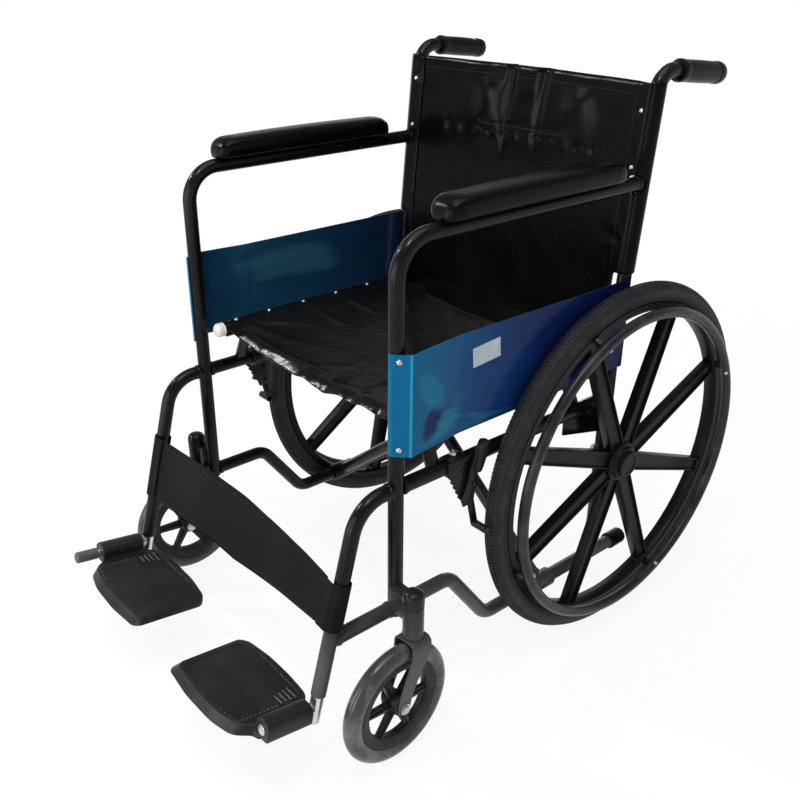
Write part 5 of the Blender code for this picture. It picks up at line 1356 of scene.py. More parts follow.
for side in SIDES:
    pad = bmesh.new()
    rings = []
    for s in PAD_STATIONS:
        nose, tail = rounding(s / 0.075), rounding((1 - s) / 0.055)
        wide = (0.42 + 0.58 * nose) * (0.55 + 0.45 * tail) * (1 - 0.02 * max(0, s - 0.5)) * PAD_HALF
        high = (0.34 + 0.66 * nose) * (0.42 + 0.58 * tail) * (0.93 + 0.07 * sin(pi * s)) * PAD_HEIGHT
        back = PAD_FRONT[side.name] + PAD_LENGTH * s
        rings.append([side.at(wide * a, back, PAD_BOTTOM + high * b) for a, b in pad_section()])
    skin(pad, rings)
    piece = settled(f"{side.name}_arm_pad_foam", pad, FOAM, side.body, [f"{side.name}_arm_pad"], smooth=60)
print("arm pads done")

# %% [markdown]
# The guard is a bent steel sheet. Its front edge wraps the post, runs out to a fold, and comes back to lie along
# the frame. A plain square is pressed into it near the fold. The pressing and the film's ripples are a function
# of the place on the sheet, so the sheet is a grid whose points are moved out by that function.

# %% Side guards
GUARD_BOTTOM, GUARD_TOP, GUARD_THICK, GUARD_FOLD_OUT, GUARD_ROWS = 0.458, 0.602, 0.0015, 0.023, 48
NEAR = (TUBE_R + 0.0003) / cos(pi / 12) + 0.0003
FOLD_AT = (GUARD_FOLD_OUT, (GUARD_FOLD_OUT * cos(radians(45)) - NEAR) / sin(radians(45)))
GUARD_PATH = [
    (0, -NEAR), (NEAR * tan(radians(22.5)), -NEAR), FOLD_AT, (NEAR, 0.100), (NEAR, POST_TO_CANE + 0.009)
]
GUARD_BENDS, GUARD_STEP = (0.006, 0.0028, 0.05), 0.004
PRESSED = {"left": (0.0855, 0.5245, 0.0280, 0.0275), "right": (0.0735, 0.5390, 0.0380, 0.0300)}
PRESS_HIGH, RIPPLE_HIGH = 0.0010, 0.00045


def guard_line():
    """Even points along the sheet's middle in plan, with small arcs at its folds, and each one's way out."""
    path = rounded([Vector((out, back, 0)) for out, back in GUARD_PATH], *GUARD_BENDS)
    spots = [path[0]]
    for first, second in zip(path, path[1:]):
        steps = max(1, ceil((second - first).length / GUARD_STEP))
        spots += [first.lerp(second, k / steps) for k in range(1, steps + 1)]
    runs = [(after - before).normalized() for before, after in zip(spots[:1] + spots, spots[1:] + spots[-1:])]
    return [(spot, Vector((run.y, -run.x, 0))) for spot, run in zip(spots, runs)]


def lifted(side, spot, up):
    """How far the sheet stands out there: the line of a plain square, and ripples."""
    middle_back, middle_up, half_back, half_up = PRESSED[side.name]
    edge = max(abs(spot.y - middle_back) / half_back, abs(up - middle_up) / half_up)
    lift = PRESS_HIGH * max(0.0, 1 - abs(edge - 1) / 0.10) if spot.y > 0.03 else 0.0
    ripple = noise.noise(Vector((spot.y * 9, up * 14, 3.0 * side.sign))) if spot.y > 0.05 else 0.0
    return lift + RIPPLE_HIGH * ripple


LINE = guard_line()
for side in SIDES:
    name = side.name
    ways = [side.out * way.x + Y * way.y for _, way in LINE]
    sheet = bmesh.new()
    outer, inner = [], []
    for up in [GUARD_BOTTOM + (GUARD_TOP - GUARD_BOTTOM) * k / GUARD_ROWS for k in range(GUARD_ROWS + 1)]:
        for rows, thick in ((outer, GUARD_THICK), (inner, 0.0)):
            rows.append([
                sheet.verts.new(side.at(spot.x, spot.y, up) + out * (thick + lifted(side, spot, up)))
                for (spot, _), out in zip(LINE, ways)
            ])
    for r in range(GUARD_ROWS):
        for k in range(len(LINE) - 1):
            sheet.faces.new((outer[r][k], outer[r][k + 1], outer[r + 1][k + 1], outer[r + 1][k]))
            back_face = sheet.faces.new((inner[r][k], inner[r + 1][k], inner[r + 1][k + 1], inner[r][k + 1]))
            back_face.material_index = 1
    for r in range(GUARD_ROWS):
        for k in (0, -1):
            sheet.faces.new((outer[r][k], outer[r + 1][k], inner[r + 1][k], inner[r][k]))
    for k in range(len(LINE) - 1):
        for r in (0, -1):
            sheet.faces.new((outer[r][k], inner[r][k], inner[r][k + 1], outer[r][k + 1]))
    bmesh.ops.recalc_face_normals(sheet, faces=sheet.faces)
    settled(f"{name}_side_guard_sheet", sheet, FILM, side.body, [f"{name}_side_guard"], more=(FILM_INSIDE,))

    flange = next(k for k, (spot, _) in enumerate(LINE) if 0.010 < spot.x < 0.0145 and spot.y < 0.0)
    spot, out = LINE[flange][0], ways[flange].normalized()
    heights = (GUARD_BOTTOM + 0.010, GUARD_TOP - 0.010)
    spots = [(side.at(spot.x, spot.y, up) + out * (GUARD_THICK + 0.0001), out, Z) for up in heights]
    stamped(f"{name}_guard_screws", spots, SCREW, ZINC, side.body)
print("guards done")

# %% [markdown]
# A small paper label sits on the near guard. It is left blank: only its place, size and paper are kept. Each
# brake's collar is closed by a plated bolt on top.

# %% Blank sticker and frame fasteners
LABEL_LONG, LABEL_HIGH, LABEL_LEAN = 0.052, 0.0285, radians(5)
label = bmesh.new()
outline = [(0, 0), (LABEL_LONG, 0), (LABEL_LONG, LABEL_HIGH), (0, LABEL_HIGH)]
corner = LEFT.at(NEAR + GUARD_THICK + 0.00015, 0.1235, 0.5480)
slab(label, outline, corner, *turned_axes(LABEL_LEAN), LEFT.out * 0.0002, 0.00005, 1)
settled("blank_guard_sticker", label, STICKER, "left_frame", slot="blue_guard")
for side in SIDES:
    nut = bmesh.new()
    hexagon_bolt(nut, side.at(0, BRAKE_CLAMP + CLAMP_LONG / 2, SIDE_RAIL_Z + 0.0157), Z, 0.0100, 0.0050)
    settled(f"{side.name}_brake_clamp_bolt", nut, ZINC, side.body, slot="steel_bolt")
print("sticker and nuts done")

# %% [markdown]
# The seat hangs between two rails. Each rail is carried by the cross tube from the far side, and a white plug
# closes its front end. The two cross tubes turn on the lower rails and on one bolt where they pass.

# %% Scissor and seat rails
CROSS_BACK, CROSS_STEP = 0.300, TUBE_R + 0.002
CROSS_PIVOT_Z = REAR_RAIL_Z + (SEAT_RAIL_Z - REAR_RAIL_Z) * FRAME_HALF / (FRAME_HALF + SEAT_HALF)
INWARD = SEAT_HALF - FRAME_HALF
for side, body, other in ((RIGHT, "cross_a", LEFT), (LEFT, "cross_b", RIGHT)):
    back = CROSS_BACK + side.sign * CROSS_STEP
    low, high = side.at(0, back, REAR_RAIL_Z), side.at(-FRAME_HALF - SEAT_HALF, back, SEAT_RAIL_Z)
    along = (high - low).normalized()
    tube = bmesh.new()
    sweep(tube, [low + along * 0.006, high - along * 0.0105], TUBE_R, Y)
    collar(tube, TUBE_R + 0.0006, 0.0155, 0.050, side.at(0, back - 0.025, REAR_RAIL_Z), Y)
    bead(tube, low + along * 0.0165, along)
    settled(f"{side.name}_cross_tube_round", tube, PAINT, body, [f"{side.name}_cross_tube"])

    rail = bmesh.new()
    front_end = other.at(INWARD, SEAT_FRONT, SEAT_RAIL_Z)
    sweep(rail, [front_end, other.at(INWARD, SEAT_BACK, SEAT_RAIL_Z)], TUBE_R)
    settled(f"{other.name}_seat_rail_round", rail, PAINT, body, [f"{other.name}_seat_rail"])

    plug = bmesh.new()
    profile = [(0.0030, -0.0152), (0.0080, -0.0148), (0.0104, -0.0128), (0.0115, -0.0100), (0.0117, -0.0070)]
    profile += [(0.0117, -0.0006), (0.0112, -0.0003), (0.0085, -0.0003), (0.0085, 0.012)]
    spin(plug, profile, front_end, Y, 36)
    settled(f"{other.name}_rail_plug_white", plug, WHITE, body, [f"{other.name}_rail_plug"])

pin = bmesh.new()
middle, reach = Vector((0, POST_Y + CROSS_BACK, CROSS_PIVOT_Z)), CROSS_STEP + TUBE_R
rod(pin, 0.005, middle - Y * reach, middle + Y * reach)
rod(pin, 0.0085, middle - Y * 0.0014, middle + Y * 0.0014)
for sign in (-1, 1):
    hexagon_bolt(pin, middle + Y * sign * (reach + 0.0003), Y * sign, 0.0145, 0.0036)
settled("cross_pivot_bolt_hex", pin, ZINC, "cross_a", ["cross_pivot_bolt"])
print("scissor done")

# %% [markdown]
# The seat, the back and the calf strap are vinyl sheets stretched between two tubes, with a hem round each tube.
# Each is drawn as a grid along its own section, so that its sag, its folds and the puckers at its screws are sums
# over a place on the sheet. A short cloth simulation then lets the creases of the seat and the back settle, and a
# wall gives each sheet its thickness.

# %% Sling helpers
CLOTH_R, CLOTH_THICK = 0.0132, 0.0016
WRAP = [radians(-150 + 232 * k / 15) for k in range(16)]
CLOTH = {
    "quality": 6, "mass": 0.25, "tension_stiffness": 22, "compression_stiffness": 22, "shear_stiffness": 12,
    "bending_stiffness": 1.6, "air_damping": 3, "vertex_group_mass": "pins",
}
CLOTH_FRAMES, CLOTH_GRAVITY = 10, 0.2


def sling(name, half, rows, columns, dip, place, front, gone, drawn=None, notch=None):
    """A mesh grid: rows are shares from one free edge to the other. gone says which faces are cut away."""
    bm = bmesh.new()
    cells = [(-1, t, None) for t in WRAP]
    cells += [(0, None, half * (2 * k / columns - 1)) for k in range(columns + 1)]
    cells += [(1, t, None) for t in reversed(WRAP)]
    grid, info = [], {}
    for share in rows:
        grid.append([])
        for sign, t, x in cells:
            if t is not None:
                x, ahead = sign * (half + CLOTH_R * cos(t)), CLOTH_R * sin(t)
            else:
                ahead = CLOTH_R - dip(x, share)
            point = place(share) + X * x + front * ahead + (drawn(x, share) if drawn else Vector())
            vertex = bm.verts.new(point)
            info[vertex] = (x, share, ahead, t)
            grid[-1].append(vertex)
    for first, second in zip(grid, grid[1:]):
        for k in range(len(cells) - 1):
            four = (first[k], first[k + 1], second[k + 1], second[k])
            if not gone([info[v] for v in four]):
                bm.faces.new(four)
    if notch:
        for vertex in bm.verts:
            notch(vertex, info[vertex])
    for vertex in [v for v in bm.verts if not v.link_faces]:
        bm.verts.remove(vertex)
    bmesh.ops.recalc_face_normals(bm, faces=bm.faces)
    centre_face = min(bm.faces, key=lambda f: (f.calc_center_median() - place(0.5)).length)
    if centre_face.normal.dot(front) < 0:
        bmesh.ops.reverse_faces(bm, faces=bm.faces)
    return placed(name, meshed(name, bm))


def relaxed(piece, pinned_from, loose, slack, most=0.005):
    """Lets the sheet settle for a few frames as cloth. It is pinned beyond a distance from its middle line, and
    held loosely elsewhere. No point moves further than most."""
    pins = piece.vertex_groups.new(name="pins")
    for vertex in piece.data.vertices:
        pins.add([vertex.index], 1.0 if abs(vertex.co.x) > pinned_from else loose, "REPLACE")
    start = [vertex.co.copy() for vertex in piece.data.vertices]
    cloth = piece.modifiers.new("cloth", "CLOTH")
    for key, value in CLOTH.items():
        setattr(cloth.settings, key, value)
    cloth.settings.shrink_min = -slack
    cloth.settings.effector_weights.gravity = CLOTH_GRAVITY
    cloth.collision_settings.use_collision = False
    scene = bpy.context.scene
    for frame_number in range(1, CLOTH_FRAMES + 1):
        scene.frame_set(frame_number)
    evaluated(piece)
    scene.frame_set(1)
    furthest = 0.0
    for vertex, before in zip(piece.data.vertices, start):
        step = vertex.co - before
        furthest = max(furthest, step.length)
        if step.length > most:
            vertex.co = before + step.normalized() * most
    piece.vertex_groups.clear()
    print(piece.name, "settled, largest move", round(furthest * 1000, 1), "mm")


def walled(piece, finish, body, nodes=()):
    """Gives the sheet its thickness and its finish."""
    wall = piece.modifiers.new("wall", "SOLIDIFY")
    wall.thickness, wall.offset = CLOTH_THICK, 0
    finer = piece.modifiers.new("finer", "SUBSURF")
    finer.levels = finer.render_levels = 1
    evaluated(piece)
    piece.data.materials.clear()
    piece.data.materials.append(finish)
    piece.data.shade_smooth()
    return dress(piece, body, nodes)


def mean(four, index):
    """The mean over a face's corners of one of their values: across, share, ahead."""
    return sum(spot[index] for spot in four) / 4


def fading(t):
    """1 at 0, and about a third of that for each step of 1."""
    return 2.718 ** (-t)


def bell(t):
    """1 at 0, falling away smoothly on both sides."""
    return fading(t * t)


def fall(t):
    """1 at 0, and 0 from 1 on."""
    return max(0.0, 1 - t)


def limited(t):
    return max(0.0, min(1.0, t))


def ridge(where, scale):
    """Sharp folds of noise: 1 along a fold, falling away on both sides."""
    return fall(3.2 * abs(noise.noise(where * scale))) ** 1.5


def crease(x, y, start, end, width, height):
    """A fold along a line from start to end, which fades at both ends."""
    spot, along = Vector((x, y)) - Vector(start), Vector(end) - Vector(start)
    t = limited(spot.dot(along) / along.length_squared)
    return height * sin(pi * (0.08 + 0.84 * t)) * bell((spot - along * t).length / width)


def pucker(inboard, along, reach, fans, start):
    """Small folds that fan out from a screw and fade."""
    away = sqrt(inboard * inboard + along * along)
    return fading(away / reach) * cos(fans * atan2(along, inboard + 0.004) + start)


print("sling helpers ready")

# %% [markdown]
# The seat puckers at every screw along its rails, its front hem waves, and long folds run in from its corners.

# %% Seat
SEAT_START, SEAT_END = SEAT_FRONT + 0.003, SEAT_BACK - 0.006
SEAT_SCREWS = (0.052, 0.118, 0.190, 0.262, 0.334, 0.402)
SEAT_ROWS = [0.0, 0.006, 0.014, 0.024, 0.036] + [0.05 + 0.93 * k / 74 for k in range(75)] + [0.988, 1.0]
CROSSING = {1: CROSS_BACK - CROSS_STEP, -1: CROSS_BACK + CROSS_STEP}
# Folds at the front hem: place, height and width. Long folds: both ends, width and height.
HEM_FOLDS = (
    (0.0, 0.0045, 0.016), (0.052, -0.003, 0.012), (0.088, 0.0050, 0.018), (0.140, 0.0042, 0.014),
    (0.178, -0.003, 0.012),
)
SEAT_FOLDS = (
    ((-0.215, 0.052), (-0.110, 0.085), 0.0065, 0.0045), ((-0.205, 0.070), (-0.150, 0.150), 0.006, 0.003),
    ((-0.12, 0.040), (0.02, 0.060), 0.007, 0.0030), ((0.060, 0.390), (0.205, 0.330), 0.006, 0.0036),
    ((0.020, 0.402), (0.190, 0.385), 0.006, 0.0034), ((0.100, 0.350), (0.215, 0.262), 0.007, 0.0032),
    ((0.215, 0.190), (0.120, 0.260), 0.006, 0.0026), ((-0.215, 0.402), (-0.100, 0.330), 0.007, 0.0034),
    ((-0.215, 0.190), (-0.120, 0.200), 0.006, 0.0022), ((0.215, 0.052), (0.110, 0.100), 0.007, 0.0034),
    ((0.160, 0.395), (0.212, 0.300), 0.005, 0.0030), ((-0.215, 0.262), (-0.130, 0.275), 0.006, 0.0022),
)


def seat_back(share):
    return SEAT_START + (SEAT_END - SEAT_START) * share


def seat_place(share):
    return Vector((0, POST_Y + seat_back(share), SEAT_RAIL_Z))


def seat_dip(x, share):
    back = seat_back(share)
    dip = (0.018 + 0.006 * sin(pi * min(1, share * 1.1))) * (1 - (x / SEAT_HALF) ** 2)
    lift = 0.0
    for sign in (-1, 1):
        inboard = SEAT_HALF - sign * x
        if inboard < 0.11:
            for k, screw in enumerate(SEAT_SCREWS):
                lift += 0.0016 * pucker(inboard, back - screw, 0.026, 7, k * 1.7 + sign)
    edge = back - SEAT_START
    lift += 0.0020 * fading(edge / 0.016) * noise.noise(Vector((x * 34, edge * 10, 0.7)))
    for place, high, wide in HEM_FOLDS:
        lift += high * fading(edge / 0.020) * bell((x - place + edge * 0.5) / wide)
    lift -= 0.0110 * fall(edge / 0.017) ** 1.6
    lift -= 0.0040 * fall((SEAT_END - back) / 0.010) ** 2
    inner = min(1.0, (SEAT_HALF - abs(x)) / 0.02)
    spot = Vector((x, back * 1.4, 0.0))
    rear = 1.0 + 1.3 * limited((back - 0.26) / 0.12) * limited((x + 0.05) / 0.15)
    lift += inner * rear * (0.0006 * ridge(spot + Vector((3.1, 0.2, 1.0)), 9) + 0.00025 * ridge(spot, 27))
    lift += inner * sum(crease(x, back, *fold) for fold in SEAT_FOLDS) * 1.25
    return dip - lift * inner if edge > 0.02 else dip - lift


def seat_gone(four):
    """The hem is open underneath where a cross tube comes up to the rail."""
    if any(spot[3] is None for spot in four):
        return False
    sign = 1 if four[0][0] > 0 else -1
    return abs(seat_back(mean(four, 1)) - CROSSING[sign]) < 0.0150 and max(s[3] for s in four) < radians(-55)


seat_piece = sling("seat_sling_vinyl", SEAT_HALF, SEAT_ROWS, 92, seat_dip, seat_place, Z, seat_gone)
relaxed(seat_piece, SEAT_HALF - 0.006, 0.45, slack=0.004)
walled(seat_piece, SEAT_VINYL, None, ["seat"])
print("seat", len(seat_piece.data.polygons), "faces")

# %% [markdown]
# The back leans with the canes. Above the guards its hems go round the canes, with a notch for each arm tube, and
# below them it ends inside. Two folds run down from the middle of its top edge, and a seam with a row of small
# tacks crosses it. Each hem is a piece of its own, which rides on its own side frame.

# %% Backrest
BACK_BOTTOM, BACK_TOP, BACK_HEM_BOTTOM = 0.440, 0.884, 0.6095
BACK_SCREWS = (0.470, 0.560, 0.655, 0.750, 0.845)
SEAM_Z, SEAM_LEFT, SEAM_RIGHT, DIMPLE_Z = 0.787, 0.095, -0.100, 0.774
DIMPLES = [-0.162 + 0.0321 * k for k in range(11)]
NOTCH_R, NOTCH_AHEAD = 0.0126, 0.0004
HEM_CUT, SHEET_BEYOND, HEM_BEYOND, HEM_RAISED = FRAME_HALF - 0.024, 0.005, 0.001, 0.0025


def back_up(share):
    return BACK_BOTTOM + (BACK_TOP - BACK_BOTTOM) * share


def back_place(share):
    return Vector((0, POST_Y + cane_back(back_up(share)), back_up(share)))


def back_dip(x, share):
    up = back_up(share)
    below, inboard = BACK_TOP - up, FRAME_HALF - abs(x)
    near_top, inner = fall(below / 0.150), min(1.0, inboard / 0.02)
    dip = 0.022 * (1 - (x / FRAME_HALF) ** 2)
    for middle, deep, wide in ((-0.034, 0.0062, 0.0075), (0.036, 0.0050, 0.010)):
        dip += deep * near_top**0.7 * bell((x - middle - 0.004 * sin(up * 30)) / wide)
    lift = 0.0
    for place, high in ((-0.105, 0.0042), (0.115, 0.0050), (0.0, 0.0030)):
        lift += high * near_top * bell((x - place) / 0.042) * sin(pi * min(1, below / 0.09 + 0.25))
    lift += 0.0020 * bell((up - 0.850) / 0.014) * sin(x * tau / 0.16 + 0.8)
    for k, screw in enumerate(BACK_SCREWS):
        lift += 0.0015 * pucker(inboard, up - screw, 0.030, 6, k)
    if SEAM_RIGHT < x < SEAM_LEFT:
        lift -= 0.0014 * fall(abs(up - SEAM_Z) / 0.0045)
        lift += 0.0010 * fall(abs(up - SEAM_Z + 0.007) / 0.006)
    for spot in DIMPLES:
        lift -= 0.0026 * bell((x - spot) / 0.0070) * bell((up - DIMPLE_Z) / 0.007)
    bulge = smooth(limited((below - 0.010) / 0.034)) * smooth(limited((0.150 - below) / 0.100))
    for place, wide in ((-0.075, 0.030), (0.118, 0.034)):
        lift += 0.0085 * bulge * bell((x - place) / wide)
    where = Vector((x * 1.2, up * 0.55, 4.0))
    lift += inner * (0.0007 * ridge(where, 9) + 0.00015 * ridge(where + Vector((2, 5, 0)), 27))
    lift -= 0.0030 * fall(below / 0.007) ** 2
    return dip - lift * inner


def back_gone(four):
    """No hem beside the guards, and a notch where the arm tube meets the cane."""
    up, x = back_up(mean(four, 1)), sum(abs(s[0]) for s in four) / 4
    if up < BACK_HEM_BOTTOM and (any(s[3] is not None for s in four) or x > FRAME_HALF - 0.0125):
        return True
    return sqrt((x - FRAME_HALF) ** 2 + (up - ARM_Z) ** 2) < NOTCH_R and mean(four, 2) > NOTCH_AHEAD


def back_notch(vertex, spot):
    """Moves a corner inside the notch out to its round edge."""
    x, share, ahead, _ = spot
    rise = back_up(share) - ARM_Z
    away = sqrt((abs(x) - FRAME_HALF) ** 2 + rise**2)
    if ahead > NOTCH_AHEAD and 0.004 < away < NOTCH_R + 0.0002:
        vertex.co.z += rise * ((NOTCH_R + 0.0002) / away - 1)


def sheet_between(name, rows, columns, dip, gone, **grid):
    """The part of a sling between its hem seams."""

    def outside(four):
        return gone(four) or abs(mean(four, 0)) > HEM_CUT + SHEET_BEYOND

    return sling(name, FRAME_HALF, rows, columns, dip, gone=outside, **grid)


def hems_of(node, finish, slot, rows, columns, dip, gone, **grid):
    """Both hems of a sling, a little outside the sheet where they overlap."""
    hems = {}
    for side in SIDES:

        def outside(four):
            return gone(four) or mean(four, 0) * side.sign < HEM_CUT - HEM_BEYOND

        def raised(x, share):
            return dip(x, share) - HEM_RAISED

        hem = sling(f"{side.name}_{node}_hem", FRAME_HALF, rows, columns, raised, gone=outside, **grid)
        hems[side.name] = walled(hem, finish, side.body)
    return hems


back_grid = dict(
    rows=[k / 92 for k in range(93)], columns=96, dip=back_dip, gone=back_gone, place=back_place, front=-Y,
    notch=back_notch,
)
back_piece = sheet_between("backrest_sling_vinyl", **back_grid)
relaxed(back_piece, HEM_CUT - 0.004, 0.5, slack=0.001, most=0.004)
walled(back_piece, BACK_VINYL, "chair", ["backrest"])
back_hems = hems_of("backrest", BACK_VINYL, "black_vinyl", **back_grid)
print("backrest", len(back_piece.data.polygons), "faces")

# %% [markdown]
# The calf strap goes from hanger to hanger, and its left end is drawn up. A lap runs along each edge.

# %% Calf strap
STRAP_BOTTOM, STRAP_TOP, STRAP_DRAW = 0.202, 0.306, (0.023, -0.012)
STRAP_HIGH, STAY_CUT = STRAP_TOP - STRAP_BOTTOM, 0.0142


def strap_up(share):
    return STRAP_BOTTOM + STRAP_HIGH * share


def strap_dip(x, share):
    inner = min(1.0, (FRAME_HALF - abs(x)) / 0.03)
    where = Vector((x * 0.6, strap_up(share) * 1.2, 9.0))
    lift = 0.0022 * noise.noise(where * 8) + 0.0008 * ridge(where, 15)
    for edge in (share * STRAP_HIGH, (1 - share) * STRAP_HIGH):
        lift += 0.0007 * fall(abs(edge - 0.008) / 0.002) - 0.0004 * fall(edge / 0.0065)
    return 0.018 * (1 - (x / FRAME_HALF) ** 2) - lift * inner


def strap_drawn(x, share):
    rise = STRAP_DRAW[0] * (1 - share) + STRAP_DRAW[1] * share
    wave = 0.0016 * noise.noise(Vector((x * 7, share, 2.0)))
    return -HANGER_DOWN * (rise / cos(HANGER_SLOPE) * limited(x / (FRAME_HALF - 0.015)) + wave)


def strap_gone(four):
    """The hem is open behind where the front stay meets the hanger."""
    share = mean(four, 1)
    up, x = strap_up(share), sum(abs(s[0]) for s in four) / 4
    if four[0][0] > 0:
        up += STRAP_DRAW[0] * (1 - share)
    return abs(x - FRAME_HALF) < STAY_CUT and abs(up - FRONT_RAIL_Z) < STAY_CUT and mean(four, 2) < -0.001


def strap_place(share):
    up = strap_up(share)
    return Vector((0, POST_Y + hanger_back(up), up))


strap_grid = dict(
    rows=[k / 30 for k in range(31)], columns=90, dip=strap_dip, gone=strap_gone, place=strap_place,
    front=HANGER_AHEAD, drawn=strap_drawn,
)
strap_piece = walled(sheet_between("calf_strap_vinyl", **strap_grid), STRAP_VINYL, "chair", ["calf_strap"])
strap_hems = hems_of("calf_strap", STRAP_VINYL, "strap_vinyl", **strap_grid)
print("calf strap", len(strap_piece.data.polygons), "faces")

# %% [markdown]
# Stitches and screws are set on the finished cloth. A ray finds the surface under each one, so they follow its
# creases, and Geometry Nodes then put one stamp on every spot.

# %% Stitches and hem screws
STITCH_GAP, SEAM_INBOARD, HEM_SEAM = 0.0062, 0.020, FRAME_HALF - 0.0205
HEM_SEAM_HEIGHTS, HEM_SCREWS = (0.615, 0.66, 0.72, 0.78, 0.84, 0.865), (0.7655, 0.845)


def on_cloth(piece, spots, way):
    """The point and normal of the cloth where a line through each spot first meets it."""
    bm = bmesh.new()
    bm.from_mesh(piece.data)
    tree = BVHTree.FromBMesh(bm)
    bm.free()
    found = [tree.ray_cast(spot - way * 0.08, way, 0.2)[:2] for spot in spots]
    return [hit if hit[0] is not None else None for hit in found]


def seam(name, piece, line, way):
    """Stitches along a line of points laid onto the cloth."""
    path, spots = [line[0]], []
    for first, second in zip(line, line[1:]):
        steps = max(1, round((second - first).length / STITCH_GAP))
        path += [first.lerp(second, k / steps) for k in range(1, steps + 1)]
    hits = on_cloth(piece, path, way)
    for before, here, after in zip(hits, hits[1:], hits[2:]):
        if before and here and after:
            point, normal = here
            spots.append((point + normal * 0.00015, normal, (after[0] - before[0]).normalized()))
    return stamped(name, spots, STITCH, THREAD, None)


def seams(name, piece, lines, way, body, slot):
    """Several lines of stitches as one piece."""
    first, *others = [seam(name, piece, line, way) for line in lines]
    first.name = first.data.name = name
    return dress(joined_into(first, others), body, (), slot)


def set_on(name, piece, spots, way, run, stamp, finish, body, size=1.0, slot="steel_bolt"):
    """A stamp on the cloth at each spot."""
    hits = [(*hit, run) for hit in on_cloth(piece, spots, way) if hit]
    return stamped(name, hits, stamp, finish, body, size, slot)


def back_spot(x, up):
    return Vector((x, POST_Y + cane_back(up), up))


def strap_spot(x, share):
    return strap_place(share) + X * x + strap_drawn(x, share)


lines = [
    [back_spot(low + (high - low) * k / 40, up) for k in range(41)]
    for up, low, high in ((SEAM_Z, SEAM_RIGHT, SEAM_LEFT), (BACK_TOP - 0.018, -0.228, 0.228))
]
stitches = seams("backrest_stitches", back_piece, lines, Y, "chair", "black_vinyl")
spots = [back_spot(x, DIMPLE_Z) for x in DIMPLES]
tacks = set_on("backrest_tacks", back_piece, spots, Y, X, DOT, BACK_VINYL, "chair", 1.5, "black_vinyl")
back_hem_stitches, strap_hem_stitches = [], []
for side in SIDES:
    name, body, x = side.name, side.body, side.sign * HEM_SEAM
    lines = [[back_spot(x, up) for up in HEM_SEAM_HEIGHTS]]
    one = seams(f"{name}_backrest_hem_stitches", back_hems[name], lines, Y, body, "black_vinyl")
    back_hem_stitches.append(one)
    lines = [[strap_spot(x, share) for share in (0.08, 0.3, 0.5, 0.7, 0.92)]]
    one = seams(f"{name}_calf_strap_hem_stitches", strap_hems[name], lines, -HANGER_AHEAD, body, "strap_vinyl")
    strap_hem_stitches.append(one)

lines = []
for x in (SEAM_INBOARD - SEAT_HALF, SEAT_HALF - SEAM_INBOARD):
    backs = (SEAT_START + 0.01, 0.12, 0.21, 0.30, SEAT_END - 0.01)
    lines.append([Vector((x, POST_Y + back, SEAT_RAIL_Z)) for back in backs])
for back in (SEAT_START + 0.015, SEAT_END - 0.015):
    lines.append([Vector((x / 100, POST_Y + back, SEAT_RAIL_Z)) for x in range(-20, 21, 2)])
seat_stitches = seams("seat_stitches", seat_piece, lines, -Z, None, "black_vinyl")
shares = (0.008 / STRAP_HIGH, 1 - 0.008 / STRAP_HIGH)
lines = [[strap_spot(x / 100, share) for x in range(-22, 23)] for share in shares]
strap_stitches = seams("calf_strap_stitches", strap_piece, lines, -HANGER_AHEAD, "chair", "strap_vinyl")

for side, body in ((LEFT, "cross_a"), (RIGHT, "cross_b")):
    spots = [Vector((side.sign * (SEAT_HALF - 0.003), POST_Y + back, SEAT_RAIL_Z)) for back in SEAT_SCREWS]
    set_on(f"{side.name}_seat_screws", seat_piece, spots, -Z, Y, SCREW, ZINC, body)
for side in SIDES:
    spots = [back_spot(side.sign * (FRAME_HALF - 0.010), up) for up in HEM_SCREWS]
    set_on(f"{side.name}_back_screws", back_hems[side.name], spots, Y, Z, SCREW, ZINC, side.body, 0.9)
print("stitches and screws done")

# %% [markdown]
# The seat and its stitches have their placing baked into their meshes, and the back, the strap and their
# stitches and tacks each get a mesh of their own.

# %% Cloth meshes baked and copied
for piece in (seat_piece, seat_stitches):
    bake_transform(piece)
for piece in (back_piece, stitches, tacks, strap_piece, strap_stitches):
    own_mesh(piece)

# %% [markdown]
# The background is white because the camera, and rays that mirrors and glass send on, see it so. The light on the
# chair itself is plain: a broad soft lamp overhead, and small ones and tall strips whose reflections are the
# bright lines along the black tubes.

# %% World and floor
FLOOR_HALF, FLOOR_Z, PLAIN_SKY = 12, -0.0008, 0.55


def seen_rays(nodes):
    """1 for the camera's rays and those through glass, and 1 for rays that mirrors send on."""
    rays = nodes.node("ShaderNodeLightPath")
    clear = rays.output("Is Camera Ray").maths("ADD", rays.output("Is Transmission Ray"), clamp=True)
    return clear, rays.output("Is Glossy Ray")


world = bpy.data.worlds.new("studio")
bpy.context.scene.world = world
world.use_nodes = True
sky = Nodes(world.node_tree)
background = sky.tree.nodes["Background"]
sky.feed(background.inputs["Color"], (1, 1, 1, 1))
clear_ray, glossy_ray = seen_rays(sky)
height = sky.parts(sky.node("ShaderNodeTexCoord"))[2]
mirrored = sky.node("ShaderNodeMapRange", SMOOTH, [height, -0.05, 0.45, 1.0, 0.30]) * glossy_ray
plain = (1.0 - clear_ray.maths("ADD", glossy_ray, clamp=True)) * PLAIN_SKY
sky.feed(background.inputs["Strength"], clear_ray.maths("ADD", mirrored, clamp=True) + plain)

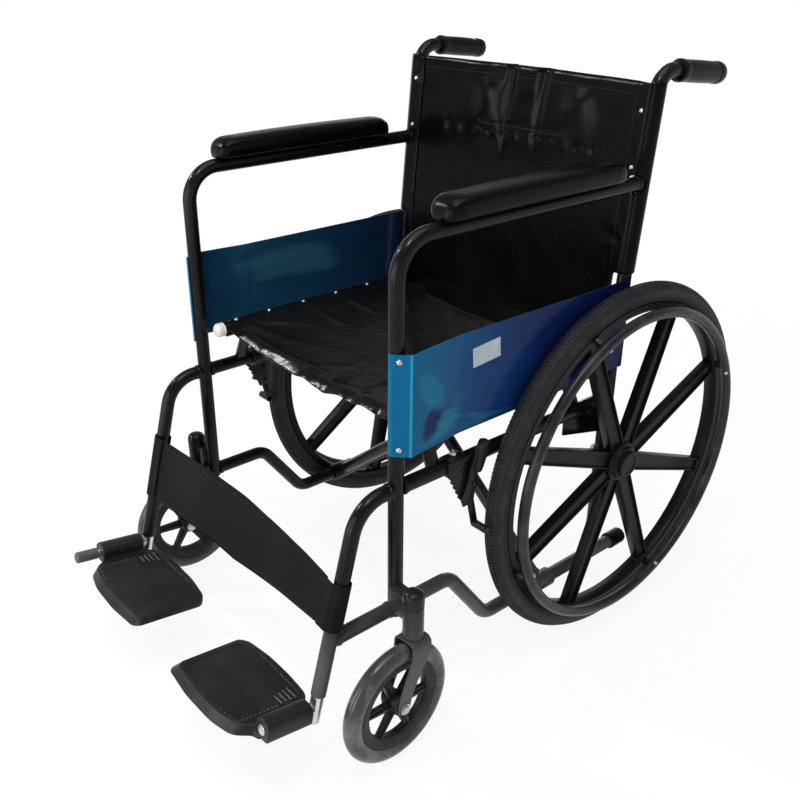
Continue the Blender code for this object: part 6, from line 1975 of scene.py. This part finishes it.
floor_mesh = bpy.data.meshes.new("floor")
corners = [(FLOOR_HALF * a, FLOOR_HALF * b, FLOOR_Z) for a, b in ((-1, -1), (1, -1), (1, 1), (-1, 1))]
floor_mesh.from_pydata(corners, [], [(0, 1, 2, 3)])
paper = Finish("floor_paper", base_color=(0.82, 0.82, 0.82), roughness=0.9, specular_ior_level=0.0)
glow = paper.node("ShaderNodeEmission", {}, {"Strength": 1.0})
clear_ray, glossy_ray = seen_rays(paper)
reach = paper.node("ShaderNodeVectorMath", {"operation": "LENGTH"}, [paper.place()], "Value")
far = paper.node("ShaderNodeMapRange", {}, [reach, 0.9, 2.2, 0.90, 1.0])
share = clear_ray.maths("ADD", glossy_ray, clamp=True) * far
both = paper.node("ShaderNodeMixShader", {}, [share, Value(paper, paper.shader.outputs[0]), glow])
paper.feed(paper.tree.nodes["Material Output"].inputs["Surface"], both)
floor_mesh.materials.append(paper.material)
placed("floor", floor_mesh)


def lamp(name, place, aim, size, power, tall=None):
    light = bpy.data.lights.new(name, "AREA")
    light.energy, light.size, light.shape = power, size, "RECTANGLE" if tall else "SQUARE"
    if tall:
        light.size_y = tall
    aimed = (Vector(aim) - Vector(place)).to_track_quat("-Z", "Y").to_matrix().to_4x4()
    placed(name, light).matrix_world = Matrix.Translation(place) @ aimed


lamp("overhead", (0.2, -0.2, 3.2), (0, 0, 0.4), 2.2, 42)
lamp("window", (-2.15, -1.45, 2.35), (0, 0.1, 0.7), 0.20, 40)
lamp("spark", (0.7, -1.0, 3.0), (0.2, -0.1, 0.6), 0.20, 20)
lamp("strip", (-0.95, -2.75, 0.95), (0.05, 0, 0.75), 0.35, 26, 1.7)
lamp("near_strip", (0.62, -2.75, 0.95), (0.15, 0, 0.7), 0.30, 22, 1.7)
lamp("low_rear", (-1.9, 2.4, 1.2), (0.1, 0.1, 0.6), 0.30, 8)

bpy.context.scene.view_settings.view_transform = "Standard"

for stamp in (SCREW, STITCH, DOT):
    bpy.data.objects.remove(stamp)
